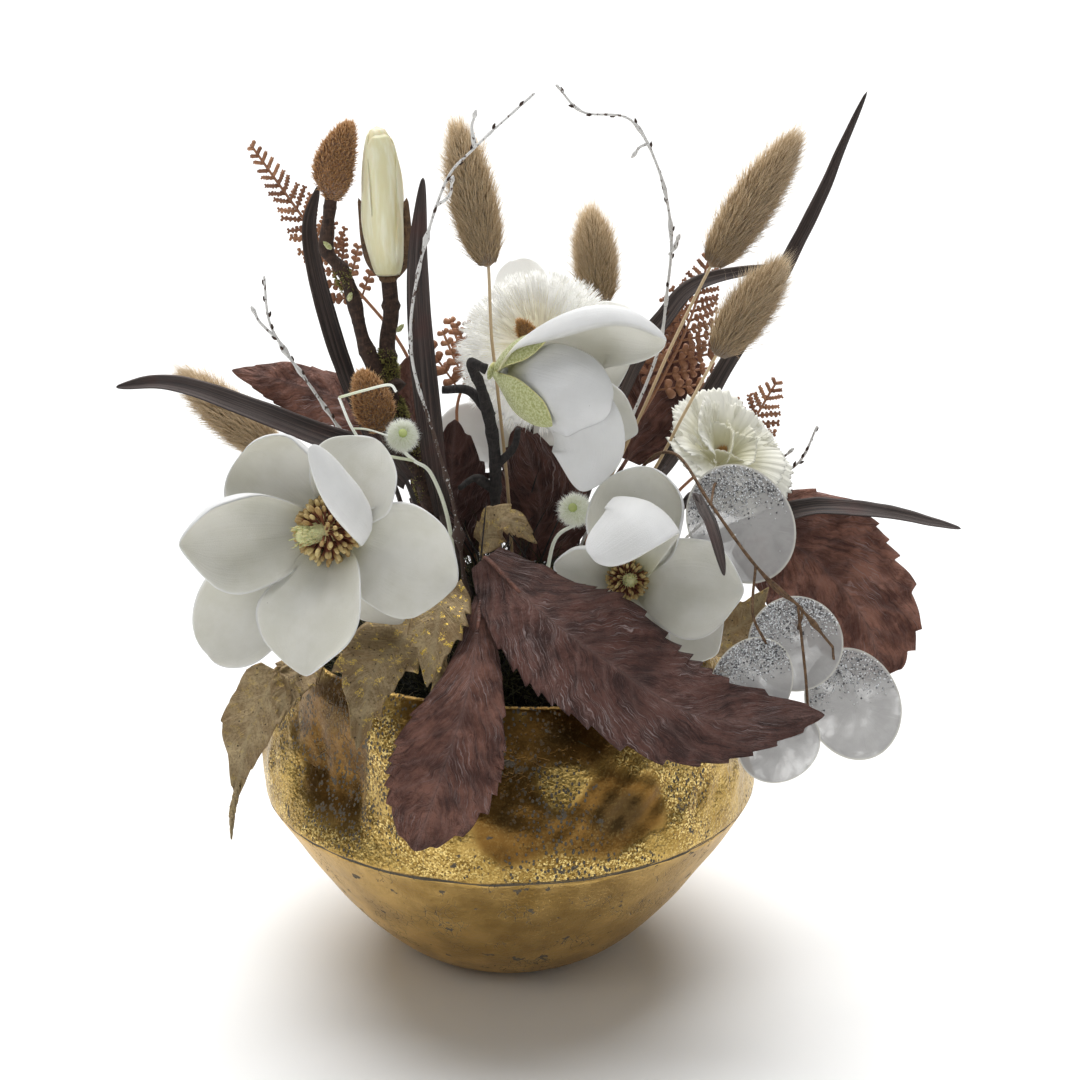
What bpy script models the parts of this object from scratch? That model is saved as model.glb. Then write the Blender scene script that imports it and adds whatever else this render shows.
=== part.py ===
"""Floral table centrepiece: magnolias, feathery blooms, grasses and dried leaves in a dented gold bowl.

Run it with: blender --background --python part.py
Lengths are metres. +Z is up, the front of the arrangement faces -Y, and the origin is the centre of the
bowl's base, on the table. Every stem stands in its own hole in a block of florist's foam.
"""

import math
import random

import bmesh
import bpy
from mathutils import Matrix, Vector

# Bowl
BOWL_BASE_RADIUS = 0.036
BOWL_BELLY_RADIUS = 0.0985
BOWL_BELLY_HEIGHT = 0.071
BOWL_RIM_RADIUS = 0.081
BOWL_RIM_HEIGHT = 0.131
BOWL_WALL = 0.0025
BOWL_SEGMENTS = 32
BOWL_LOWER_RINGS = 5
BOWL_UPPER_RINGS = 5
DENT_DEPTH = 0.0045
RIM_WAVE = 0.0022

# Florist's foam
FOAM_GAP = 0.0004
FOAM_FLOOR = BOWL_WALL + FOAM_GAP
FOAM_FLOOR_RADIUS = 0.030
FOAM_WAIST_RADIUS = 0.068
FOAM_WAIST_HEIGHT = 0.070
FOAM_SHOULDER_HEIGHT = 0.116
FOAM_SHOULDER_RADIUS = 0.072
FOAM_CROWN = 0.146
FOAM_RINGS = 2
FOAM_SEGMENTS = 24
HOLE_DEPTH = 0.020
HOLE_CLEARANCE = 0.0009
HOLE_SIDES = 5
STEM_STANDS_OFF = 0.0005

# Thin things
LEAF_THICKNESS = 0.0008
PETAL_THICKNESS = 0.0009
POD_THICKNESS = 0.0010
TOUCHING_GAP = 0.0004

GOLD = (0.62, 0.40, 0.10)
FOAM_DARK = (0.03, 0.03, 0.02)
PETAL_WHITE = (0.86, 0.85, 0.80)
SEPAL_GREEN = (0.55, 0.56, 0.25)
STAMEN_TAN = (0.42, 0.27, 0.10)
FEATHER_WHITE = (0.83, 0.82, 0.74)
BARK_BLACK = (0.035, 0.028, 0.025)
BARK_BROWN = (0.09, 0.055, 0.035)
BUD_BROWN = (0.42, 0.22, 0.09)
BUD_CREAM = (0.80, 0.77, 0.52)
BLADE_BROWN = (0.085, 0.055, 0.045)
BURGUNDY = (0.15, 0.065, 0.055)
LEAF_GOLD = (0.45, 0.33, 0.15)
TWIG_WHITE = (0.72, 0.71, 0.68)
FERN_COPPER = (0.33, 0.13, 0.06)
TAIL_TAN = (0.50, 0.36, 0.20)
POD_SILVER = (0.66, 0.64, 0.60)

MM = 0.001

# Where each stem goes into the foam, in mm, before `spread` moves them apart
ENTRIES = {
    "magnolia_front_left": (-26, -30),
    "magnolia_top": (-4, -15),
    "magnolia_right": (22, -30),
    "magnolia_rear": (2, 32),
    "feather_left": (6, 6),
    "feather_right": (36, 5),
    "bud_branch": (-19, -10),
    "blade_1": (-25, -3),
    "blade_2": (-12, -20),
    "blade_3": (27, 10),
    "blade_4": (-32, -15),
    "blade_5": (17, 20),
    "blade_6": (46, -6),
    "blade_7": (40, -24),
    "leaf_front": (-1, -38),
    "leaf_hanging": (-9, -48),
    "leaf_right": (48, 4),
    "leaf_inner_left": (-10, 3),
    "leaf_inner_right": (4, -5),
    "leaf_left": (-26, 8),
    "leaf_rear": (21, 32),
    "leaf_small": (-17, 14),
    "gold_left": (-44, -26),
    "gold_centre": (-27, -45),
    "gold_small": (-6, -29),
    "gold_right": (38, -38),
    "twig_1": (-38, -8),
    "twig_2": (-15, -29),
    "twig_3": (22, 4),
    "twig_4": (46, 12),
    "fern_1": (-12, 20),
    "fern_2": (-5, 12),
    "fern_3": (26, 24),
    "fern_4": (40, 20),
    "tail_1": (2, -10),
    "tail_2": (14, 3),
    "tail_3": (20, -5),
    "tail_4": (10, 22),
    "tail_5": (-36, 4),
    "honesty": (31, -14),
    "pompom_left": (-19, -21),
    "pompom_right": (13, -20),
}
ENTRY_SPACING = 7.2

holes = []
places = {}


# Scene and materials


def clear_scene():
    """Removes what the startup scene holds, and opens a collection for the parts and one for helpers."""
    for old in list(bpy.data.objects):
        bpy.data.objects.remove(old)
    made = []
    for name in ("Centrepiece", "Cutters"):
        collection = bpy.data.collections.new(name)
        bpy.context.scene.collection.children.link(collection)
        made.append(collection)
    return made


def principled(name, colour, roughness, metallic=0.0):
    """A plain Principled material of one colour."""
    material = bpy.data.materials.new(name)
    material.use_nodes = True
    shader = material.node_tree.nodes["Principled BSDF"]
    shader.inputs["Base Color"].default_value = (*colour, 1.0)
    shader.inputs["Roughness"].default_value = roughness
    shader.inputs["Metallic"].default_value = metallic
    material.diffuse_color = (*colour, 1.0)
    return material


def object_of(name, shape, collection):
    """An object that holds the bmesh `shape`, which is freed."""
    mesh = bpy.data.meshes.new(name)
    shape.to_mesh(mesh)
    shape.free()
    made = bpy.data.objects.new(name, mesh)
    collection.objects.link(made)
    return made


def evaluated_mesh(source):
    """The mesh that an object's modifiers or its curve give."""
    bpy.context.view_layer.update()
    graph = bpy.context.evaluated_depsgraph_get()
    return bpy.data.meshes.new_from_object(source.evaluated_get(graph))


def finish(made, material):
    """Gives a part its material and smooth shading with sharp creases."""
    made.data.materials.clear()
    made.data.materials.append(material)
    made.data.shade_smooth()
    made.data.set_sharp_from_angle(angle=math.radians(40))
    return made


# Routes


def route_point(points, t):
    """The point at t, from 0 to 1, on a Catmull-Rom curve through the points."""
    spans = len(points) - 1
    place = min(max(t, 0.0), 1.0) * spans
    span = min(int(place), spans - 1)
    s = place - span
    before = points[span - 1] if span else points[0] * 2 - points[1]
    after = points[span + 2] if span + 2 < len(points) else points[-1] * 2 - points[-2]
    start, end = points[span], points[span + 1]
    straight = start * 2
    slope = (end - before) * s
    bend = (before * 2 - start * 5 + end * 4 - after) * s**2
    twist = (start * 3 - before - end * 3 + after) * s**3
    return (straight + slope + bend + twist) / 2


def route_direction(points, t):
    """The unit direction of travel at t."""
    step = 0.01
    ahead = route_point(points, min(t + step, 1.0))
    behind = route_point(points, max(t - step, 0.0))
    return (ahead - behind).normalized()


def in_metres(*points):
    """Vectors in metres from points in millimetres."""
    return [Vector(point) * MM for point in points]


def swell(t, start, lean, fullness):
    """A share of the width at t: zero at the tip, widest in the middle, and some of it left at the root."""
    return math.sin(math.pi * (start + (1 - start) * min(t, 1.0)) ** lean) ** fullness if t < 1 else 0.0


def spread(entries):
    """Moves the stems' places in the foam apart until no two are nearer than ENTRY_SPACING."""
    places = {name: Vector((x, y)) for name, (x, y) in entries.items()}
    for _ in range(200):
        for name, place in places.items():
            for other, theirs in places.items():
                apart = place - theirs
                if other != name and apart.length < ENTRY_SPACING:
                    place += apart.normalized() * (ENTRY_SPACING - apart.length) * 0.4
    return {name: (place.x * MM, place.y * MM) for name, place in places.items()}


def foam_top(x, y):
    """Height of the foam's domed top."""
    share = (x * x + y * y) / FOAM_SHOULDER_RADIUS**2
    return FOAM_CROWN - (FOAM_CROWN - FOAM_SHOULDER_HEIGHT) * share


def planted(entry, points, radius):
    """A route that stands in the foam hole of that name, then runs through the points, in metres."""
    x, y = places[entry]
    top = foam_top(x, y)
    holes.append((x, y, top, radius))
    bottom = Vector((x, y, top - HOLE_DEPTH + STEM_STANDS_OFF))
    return [bottom, Vector((x, y, top + 0.002)), *points]


# Solids


def tube(name, route, start_radius, end_radius, collection, sides=4, steps=1):
    """A tapering stem: a curve with a bevel along the route, made a mesh with its caps welded.

    The first span, which stands in the foam, stays straight; each later one is cut into `steps`.
    """
    spans = len(route) - 1
    places = [0.0] + [1 / spans + k / (spans * steps) for k in range((spans - 1) * steps + 1)]
    curve = bpy.data.curves.new(name, "CURVE")
    curve.dimensions = "3D"
    curve.bevel_depth = start_radius
    curve.bevel_resolution = sides // 2 - 2
    curve.use_fill_caps = True
    spline = curve.splines.new("POLY")
    spline.points.add(len(places) - 1)
    for point, t in zip(spline.points, places):
        point.co = (*route_point(route, t), 1.0)
        point.radius = 1 + (end_radius / start_radius - 1) * t
    source = bpy.data.objects.new(name + "_curve", curve)
    collection.objects.link(source)
    mesh = evaluated_mesh(source)
    bpy.data.objects.remove(source)
    shape = bmesh.new()
    shape.from_mesh(mesh)
    bmesh.ops.remove_doubles(shape, verts=shape.verts, dist=1e-6)
    bmesh.ops.recalc_face_normals(shape, faces=shape.faces)
    return object_of(name, shape, collection)


def sheet(name, rows, columns, place, thickness, collection):
    """A thin sheet. place(t, v) is its point at t from root to tip and v from -1 to 1 across.

    It is cut into triangles before Solidify gives it its thickness, so both faces are cut alike.
    """
    shape = bmesh.new()
    bmesh.ops.create_grid(shape, x_segments=columns, y_segments=rows, size=1.0)
    for vertex in shape.verts:
        vertex.co = place((vertex.co.y + 1) / 2, vertex.co.x)
    bmesh.ops.remove_doubles(shape, verts=shape.verts, dist=1e-5)
    bmesh.ops.triangulate(shape, faces=shape.faces)
    made = object_of(name, shape, collection)
    solidify = made.modifiers.new("Thickness", "SOLIDIFY")
    solidify.thickness = thickness
    solidify.offset = 0.0
    return made


def ball(name, around, along, place, collection):
    """A closed round form. place(angle, t) is its point, with t from 0 at one pole to 1 at the other."""
    shape = bmesh.new()
    bmesh.ops.create_uvsphere(shape, u_segments=around, v_segments=along, radius=1.0)
    for vertex in shape.verts:
        angle = math.atan2(vertex.co.y, vertex.co.x)
        t = math.acos(max(-1.0, min(1.0, -vertex.co.z))) / math.pi
        vertex.co = place(angle, t)
    bmesh.ops.recalc_face_normals(shape, faces=shape.faces)
    return object_of(name, shape, collection)


def spike(name, root, direction, length, radius, collection, sides=3, tip_share=0.2):
    """A slim cone from root along direction."""
    shape = bmesh.new()
    bmesh.ops.create_cone(
        shape, cap_ends=True, segments=sides, radius1=radius, radius2=radius * tip_share, depth=length
    )
    turn = Vector((0, 0, 1)).rotation_difference(direction).to_matrix().to_4x4()
    lift = Matrix.Translation((0, 0, length / 2))
    shape.transform(Matrix.Translation(root) @ turn @ lift)
    return object_of(name, shape, collection)


def without_scraps(mesh):
    """Fills the hollows that fusing sealed, and drops loose scraps smaller than a cubic millimetre."""
    shape = bmesh.new()
    shape.from_mesh(mesh)
    waiting = set(shape.verts)
    while waiting:
        island = [waiting.pop()]
        for vertex in island:
            near = [edge.other_vert(vertex) for edge in vertex.link_edges]
            fresh = [other for other in near if other in waiting]
            island.extend(fresh)
            waiting.difference_update(fresh)
        faces = {face for vertex in island for face in vertex.link_faces}
        # Six times a closed island's volume, which is negative round a hollow
        bulk = 0.0
        for face in faces:
            first, *others = [corner.co for corner in face.verts]
            bulk += sum(first.dot(a.cross(b)) for a, b in zip(others, others[1:]))
        if bulk / 6 < MM**3:
            bmesh.ops.delete(shape, geom=island, context="VERTS")
    shape.to_mesh(mesh)
    shape.free()
    return mesh


def fuse(name, base, pieces, solver="MANIFOLD"):
    """One Boolean union of base with the pieces. The pieces are removed."""
    together = bpy.data.collections.new(name + "_pieces")
    bpy.context.scene.collection.children.link(together)
    for piece in pieces:
        for owner in list(piece.users_collection):
            owner.objects.unlink(piece)
        together.objects.link(piece)
    join = base.modifiers.new("Join", "BOOLEAN")
    join.operation = "UNION"
    join.operand_type = "COLLECTION"
    join.collection = together
    join.solver = solver
    mesh = without_scraps(evaluated_mesh(base))
    base.modifiers.clear()
    base.data = mesh
    base.name = name
    for piece in pieces:
        bpy.data.objects.remove(piece)
    bpy.data.collections.remove(together)
    return base


def frame_on(origin, axis):
    """A matrix that puts +Z along the axis at the origin."""
    turn = Vector((0, 0, 1)).rotation_difference(Vector(axis).normalized())
    return Matrix.Translation(origin) @ turn.to_matrix().to_4x4()


def spiral(count):
    """Angles a golden angle apart, each with its share from 0 to 1."""
    golden = math.pi * (3 - math.sqrt(5))
    return [(k * golden, (k + 0.5) / count) for k in range(count)]


# Leaves, twigs and heads


def leaf(name, points, half_width, facing, collection, rows=12, columns=4, teeth=0.0,
         form=(0.04, 0.85, 0.8),
         fold=0.2, wave=0.0):
    """A flat or folded leaf along the points, in millimetres, whose upper face looks along `facing`.

    Its edges rise by `fold` of the half width and ripple by `wave`; `teeth` saws them row by row.
    """
    route = in_metres(*points)
    looks = [Vector(way).normalized() for way in facing]

    def place(t, v):
        ahead = route_direction(route, t)
        side = ahead.cross(looks[0].lerp(looks[-1], t)).normalized()
        up = side.cross(ahead)
        wide = half_width * swell(t, *form)
        if abs(v) > 0.99:
            wide *= 1 + teeth * (1 if round(t * rows) % 2 else -1)
        ripple = wave * math.sin(2 * math.pi * (2.3 * t + 0.15 * v)) * v * abs(v)
        return route_point(route, t) + side * wide * v + up * wide * (fold * v * v + ripple)

    return sheet(name, rows, columns, place, LEAF_THICKNESS, collection)


def stalk(name, entry, points, radius, parts, sides=4, steps=1, end_share=0.6):
    """A stem from its foam hole through the points, in millimetres."""
    route = planted(entry, in_metres(*points), radius)
    return tube(name, route, radius, radius * end_share, parts, sides, steps)


def leaf_on_stalk(name, stem, points, half_width, facing, radius, parts, **shape):
    """A leaf with the stalk that carries it, in one piece. The stalk runs on as the first of the midrib."""
    route = in_metres(*points)
    midrib = [tuple(route_point(route, t) / MM) for t in (0.0, 0.16)]
    carrier = stalk(name, name, [*stem, *midrib], radius, parts, sides=4)
    return fuse(name, carrier, [leaf(name + "_blade", points, half_width, facing, parts, **shape)])


def round_head(name, base, tip, radius, parts, form=(0.0, 1.0, 0.7), around=8, along=6, bow=(0, 0, 0),
               furl=0.0):
    """A bud or seed head from base to tip, in millimetres.

    It may bow sideways and be furled like cloth.
    """
    start, end = in_metres(base, tip)
    turn = Vector((0, 0, 1)).rotation_difference((end - start).normalized()).to_matrix()
    sway = Vector(bow) * MM

    def place(angle, t):
        wide = radius * max(swell(t, *form), 0.0) if 0 < t < 1 else 0.0
        wide *= 1 + furl * math.cos(3 * angle + 5 * t)
        out = turn @ Vector((wide * math.cos(angle), wide * math.sin(angle), 0))
        return start.lerp(end, t) + sway * math.sin(math.pi * t) + out

    return ball(name, around, along, place, parts)


def bristles(name, base, tip, radius, count, length, rise, parts, form=(0.0, 1.0, 0.7), thick=0.0012,
             low=0.06):
    """Slim spikes all over a head from base to tip. `rise` is how far they lean to its tip, in radians."""
    start, end = in_metres(base, tip)
    axis = (end - start).normalized()
    turn = Vector((0, 0, 1)).rotation_difference(axis).to_matrix()
    made = []
    for k, (angle, share) in enumerate(spiral(count)):
        t = low + (0.96 - low) * share
        ray = turn @ Vector((math.cos(angle), math.sin(angle), 0))
        root = start.lerp(end, t) + ray * radius * 0.6 * swell(t, *form)
        steep = rise + (math.pi / 2 - rise) * max(0.0, (share - 0.7) / 0.3)
        aim = ray * math.cos(steep) + axis * math.sin(steep)
        made.append(spike(f"{name}_{k}", root, aim, length, thick, parts, tip_share=0.0))
    return made


# Blooms


def petal(name, frame, turn, length, half_width, opening, closing, cup, collection, grid=(5, 3)):
    """One magnolia petal in a flower's frame, at `turn` radians round its axis.

    Its spine is an arc that leans `opening` from the axis at the root and `closing` at the tip. Across, it
    is an arc of half angle `cup`, hollow towards the axis. Its width swells to a blunt, pointed end.
    """
    sweep = closing - opening
    sweep = sweep if abs(sweep) > 0.01 else 0.01

    def place(s, v):
        t = 1 - (1 - s) ** 1.5
        lean = opening + sweep * t
        out = length * (math.cos(opening) - math.cos(lean)) / sweep + 0.001
        up = length * (math.sin(lean) - math.sin(opening)) / sweep
        wide = half_width * swell(t, 0.03, 1.5, 0.66)
        bend = v * cup
        across = wide * math.sin(bend) / cup
        lift = wide * (1 - math.cos(bend)) / cup
        out -= lift * math.cos(lean)
        up += lift * math.sin(lean)
        return frame @ (Matrix.Rotation(turn, 3, "Z") @ Vector((out, across, up)))

    return sheet(name, grid[0], grid[1], place, PETAL_THICKNESS, collection)


def draped_petal(name, points, half_width, facing, cup, collection, root=0.03, grid=(5, 3)):
    """One magnolia petal whose spine runs through points in millimetres.

    Across, it is an arc of half angle `cup`, in degrees, hollow towards `facing`,
    which may turn on the way.
    """
    route = in_metres(*points)
    first = Vector(facing[0]).normalized()
    last = Vector(facing[-1]).normalized()
    arc = math.radians(cup)

    def place(s, v):
        t = 1 - (1 - s) ** 1.5
        ahead = route_direction(route, t)
        side = ahead.cross(first.lerp(last, t)).normalized()
        up = side.cross(ahead)
        wide = half_width * swell(t, root, 1.5, 0.55)
        across = wide * math.sin(v * arc) / arc
        lift = wide * (1 - math.cos(v * arc)) / arc
        return route_point(route, t) + side * across + up * lift

    return sheet(name, grid[0], grid[1], place, PETAL_THICKNESS, collection)


def reach(frame, tip, half_width, curl, cup):
    """A petal's shape from where its tip is, in millimetres.

    Curl is how far it bends outwards, in degrees.
    """
    local = frame.inverted() @ (Vector(tip) * MM)
    radial = math.hypot(local.x, local.y)
    middle = math.atan2(radial, local.z)
    half = math.radians(curl) / 2
    length = math.hypot(radial, local.z) * half / math.sin(half)
    return math.atan2(local.y, local.x), length, half_width, middle - half, middle + half, math.radians(cup)


def receptacle(name, frame, radius, low, high, parts):
    """The small round core, from low to high along a flower's axis, that its petals grow from."""

    def place(angle, t):
        wide = radius * math.sin(math.pi * t)
        return frame @ Vector((wide * math.cos(angle), wide * math.sin(angle), low + (high - low) * t))

    return ball(name, 8, 4, place, parts)


def petals_node(name, frame, petals, parts, draped=()):
    """The petals of one bloom, fused on its receptacle."""
    core = receptacle(name, frame, 0.0046, -RECEPTACLE, RECEPTACLE, parts)
    made = [petal(f"{name}_{k}", frame, *shape, parts) for k, shape in enumerate(petals)]
    for k, (points, half_width, facing, cup, root) in enumerate(draped):
        made.append(draped_petal(f"{name}_draped_{k}", points, half_width, facing, cup, parts, root))
    return fuse(name, core, made, "EXACT")


def stamens_node(name, frame, count, size, parts, seed=1):
    """The heart of an open magnolia: a cone of pistils on a short neck, ringed by stamens."""
    rng = random.Random(seed)
    foot = RECEPTACLE + TOUCHING_GAP

    def girth(t):
        return size * (0.22 + 0.36 * math.sin(math.pi * t) ** 0.8) * (1.15 - 0.5 * t)

    def place(angle, t):
        wide = girth(t) if 0 < t < 1 else 0.0
        return frame @ Vector((wide * math.cos(angle), wide * math.sin(angle), foot + 1.7 * size * t))

    clubs = []
    for k, (angle, share) in enumerate(spiral(count)):
        t = 0.30 + 0.42 * share
        lean = math.radians(74 - 50 * share + rng.uniform(-6, 6))
        ray = Vector((math.cos(angle), math.sin(angle), 0))
        root = frame @ (ray * girth(t) * 0.5 + Vector((0, 0, foot + 1.7 * size * t)))
        aim = frame.to_3x3() @ (ray * math.sin(lean) + Vector((0, 0, math.cos(lean))))
        clubs.append(spike(f"{name}_{k}", root, aim, 0.66 * size, 0.13 * size, parts, tip_share=0.7))
    return fuse(name, ball(name, 6, 5, place, parts), clubs)


def bloom_stem(name, entry, points, frame, radius, parts, under=None):
    """A stem that widens into a calyx just under a bloom's receptacle."""
    top = under or RECEPTACLE + TOUCHING_GAP
    end = frame @ Vector((0, 0, -top))
    low = frame @ Vector((0, 0, -top - 0.006))
    route = planted(entry, [*in_metres(*points), low, end], radius)
    stem = tube(name, route, radius, radius * 0.8, parts, 6, 1)
    axis = (end - low).normalized()
    cup = spike(name + "_calyx", low, axis, (end - low).length, radius * 0.7, parts, 8,
                0.0036 / radius / 0.7)
    return fuse(name, stem, [cup])


RECEPTACLE = 0.003
FRONT_LEFT = frame_on(Vector((-60, -66, 196)) * MM, (-0.30, -0.91, 0.27))
TOP_BLOOM = frame_on(Vector((-1, -40, 246)) * MM, (0.93, -0.26, -0.24))
RIGHT_BLOOM = frame_on(Vector((43, -52, 172)) * MM, (0.10, -0.93, 0.30))
REAR_BLOOM = frame_on(Vector((6, 52, 186)) * MM, (-0.10, 0.86, 0.50))


def degrees(*angles):
    return [math.radians(angle) for angle in angles]


def whorl(angles, length, half_width, opening, closing, cup):
    """Petals alike but for their place round the axis, in degrees."""
    lean, tip, bend = degrees(opening, closing, cup)
    return [(math.radians(angle), length, half_width, lean, tip, bend) for angle in angles]


def build_magnolias(parts):
    """Four magnolias: two open at the front, one half closed on top, and one open at the back."""
    white = principled("Petal", PETAL_WHITE, 0.6)
    tan = principled("Stamen", STAMEN_TAN, 0.7)
    green = principled("Sepal", SEPAL_GREEN, 0.7)
    black = principled("Black bark", BARK_BLACK, 0.9)
    brown = principled("Brown bark", BARK_BROWN, 0.9)
    front = [
        reach(FRONT_LEFT, (-113, -86.1, 196.2), 0.0220, -24, 40),
        reach(FRONT_LEFT, (-92, -58, 223), 0.0235, -14, 38),
        reach(FRONT_LEFT, (-46, -68, 229), 0.0210, 34, 38),
        reach(FRONT_LEFT, (-18, -88, 184), 0.0230, 34, 32),
        reach(FRONT_LEFT, (-68.9, -103.8, 156), 0.0220, 20, 32),
        reach(FRONT_LEFT, (-106, -82, 155), 0.0212, 12, 32),
        reach(FRONT_LEFT, (-39, -62, 159), 0.0135, 10, 20),
    ]
    front_draped = [
        ([(-60, -66, 196), (-48, -77, 199), (-49, -91, 210), (-56, -99, 223), (-65, -100, 237)],
         0.0088, [(-0.63, -0.53, 0.57), (-0.45, 0.75, -0.45)], 36, 0.10),
    ]
    petals = petals_node("magnolia_front_left_petals", FRONT_LEFT, front, parts, front_draped)
    finish(petals, white)
    finish(stamens_node("magnolia_front_left_stamens", FRONT_LEFT, 18, 0.0105, parts), tan)
    stem = bloom_stem("magnolia_front_left_stem", "magnolia_front_left", [(-44, -44, 174)], FRONT_LEFT,
                      0.0022, parts)
    finish(stem, brown)
    top = [
        reach(TOP_BLOOM, (48, -30, 222), 0.0180, -30, 40),
        reach(TOP_BLOOM, (46, -9.4, 243), 0.0180, -10, 40),
    ]
    top_draped = [
        ([(-1, -40, 246), (13, -42.8, 258), (34, -47, 267), (57, -50, 262)],
         0.0180, [(0.1, -0.75, -0.65), (0.0, -0.92, -0.40)], 46, 0.12),
        ([(-1, -40, 246), (9, -54, 246.5), (22, -64, 245), (37, -66, 242)], 0.0186, [(0.0, 1.0, -0.1)],
         50, 0.16),
        ([(-1, -40, 246), (13, -53, 244), (24, -60, 236), (29, -64, 225), (27, -66, 210)],
         0.0175, [(0.1, 0.9, 0.2)], 46, 0.06),
    ]
    finish(petals_node("magnolia_top_petals", TOP_BLOOM, top, parts, top_draped), white)
    cup = receptacle("magnolia_top_sepals", TOP_BLOOM, 0.0034, -0.0064, -RECEPTACLE - TOUCHING_GAP, parts)
    below = TOP_BLOOM @ Matrix.Translation((0, 0, -0.005))
    sepals = [
        petal("sepal_up", below, math.radians(angle), length, 0.008, *degrees(92, 40, 40), parts, (4, 2))
        for angle, length in ((100, 0.021), (-62, 0.024))
    ]
    finish(fuse("magnolia_top_sepals", cup, sepals), green)
    twig = bloom_stem("magnolia_top_twig", "magnolia_top", [(-5, -20, 178), (-5, -23, 212), (-9, -28, 236)],
                      TOP_BLOOM, 0.0030, parts, under=0.0064 + TOUCHING_GAP)
    arms = [
        tube("arm_1", in_metres((-6, -24, 226), (-14, -25, 236), (-24, -27, 237)), 0.0021, 0.0015, parts),
        tube("arm_2", in_metres((-5, -21, 196), (-12, -24, 202), (-18, -30, 200)), 0.0018, 0.0010, parts),
        tube("arm_3", in_metres((-5, -22, 206), (2, -25, 214), (4, -26, 222)), 0.0018, 0.0010, parts),
    ]
    finish(fuse("magnolia_top_twig", twig, arms), black)
    right = [
        reach(RIGHT_BLOOM, (50, -54, 215), 0.0225, 18, 40),
        reach(RIGHT_BLOOM, (18, -60, 180.5), 0.0130, 20, 30),
        reach(RIGHT_BLOOM, (84, -69.3, 174), 0.0225, 20, 40),
        reach(RIGHT_BLOOM, (76, -63, 147), 0.0165, 20, 30),
        reach(RIGHT_BLOOM, (44, -79.4, 144), 0.0160, 20, 30),
    ]
    right_draped = [
        ([(43, -52, 172), (48, -60, 190), (51, -73, 207), (44, -89, 207), (29, -94, 196)],
         0.0158, [(-0.4, -0.75, -0.22), (-0.1, 0.55, -0.8)], 40, 0.10),
    ]
    finish(petals_node("magnolia_right_petals", RIGHT_BLOOM, right, parts, right_draped), white)
    finish(stamens_node("magnolia_right_stamens", RIGHT_BLOOM, 11, 0.0068, parts, seed=2), tan)
    stem = bloom_stem("magnolia_right_stem", "magnolia_right", [(34, -36, 158)], RIGHT_BLOOM, 0.0020, parts)
    finish(stem, brown)
    rear = whorl((20, 140, 260), 0.044, 0.018, 42, 70, 30)
    rear += whorl((80, 200, 320), 0.042, 0.018, 66, 96, 24)
    finish(petals_node("magnolia_rear_petals", REAR_BLOOM, rear, parts), white)
    finish(stamens_node("magnolia_rear_stamens", REAR_BLOOM, 11, 0.0076, parts, seed=3), tan)
    stem = bloom_stem("magnolia_rear_stem", "magnolia_rear", [(5, 34, 166)], REAR_BLOOM, 0.0020, parts)
    finish(stem, brown)


def feather_flower(name, frame, count, length, others, parts, seed):
    """Narrow feathers, standing to lying flat, that fan out from a flower's core; fused with `others`."""
    rng = random.Random(seed)
    core = receptacle(name, frame, 0.0060, -RECEPTACLE, RECEPTACLE, parts)
    feathers = []
    for k, (angle, share) in enumerate(spiral(count)):
        lean = math.radians(88 - 52 * share + rng.uniform(-4, 4))
        ray = Vector((math.cos(angle), math.sin(angle), 0))
        aim = ray * math.sin(lean) + Vector((0, 0, math.cos(lean)))
        root = frame @ (ray * 0.0015)
        along = length * rng.uniform(0.86, 1.0) * (1 - 0.15 * share)
        feather = spike(f"{name}_{k}", Vector((0, 0, 0)), Vector((0, 0, 1)), along, 0.0008, parts, 3, 1.0)
        feather.data.transform(Matrix.Diagonal((1.0, 3.0, 1.0, 1.0)))
        turn = Vector((0, 0, 1)).rotation_difference(aim).to_matrix().to_4x4()
        spin = Matrix.Rotation(angle, 4, "Z")
        feather.data.transform(Matrix.Translation(root) @ frame.to_3x3().to_4x4() @ turn @ spin)
        feathers.append(feather)
    return fuse(name, core, [*feathers, *others])


FEATHER_LEFT = frame_on(Vector((9, 12, 247)) * MM, (-0.40, -0.50, 0.77))
FEATHER_RIGHT = frame_on(Vector((80, 0, 199)) * MM, (0.25, -0.42, 0.87))


def build_feather_flowers(parts):
    """Two pincushion flowers of white feathers round a brown cone."""
    white = principled("Feather", FEATHER_WHITE, 0.8)
    brown = principled("Seed cone", BUD_BROWN, 0.9)
    bark = principled("Flower stem", BARK_BROWN, 0.9)
    back = petal("back_petal", FEATHER_LEFT, *reach(FEATHER_LEFT, (4, 30, 275), 0.0130, -50, 30), parts)
    flowers = (
        ("feather_left", FEATHER_LEFT, 24, 0.033, [back], [(7, 10, 190), (9, 15, 228)], 5),
        ("feather_right", FEATHER_RIGHT, 21, 0.031, [], [(54, 6, 168)], 6),
    )
    for name, frame, count, length, others, route, seed in flowers:
        finish(feather_flower(name + "_petals", frame, count, length, others, parts, seed), white)
        start = (frame @ Vector((0, 0, RECEPTACLE + TOUCHING_GAP))) / MM
        end = (frame @ Vector((0, 0, RECEPTACLE + 0.0125))) / MM
        finish(round_head(name + "_cone", start, end, 0.0042, parts, (0.0, 0.8, 0.7)), brown)
        finish(bloom_stem(name + "_stem", name, route, frame, 0.0016, parts), bark)


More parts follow.
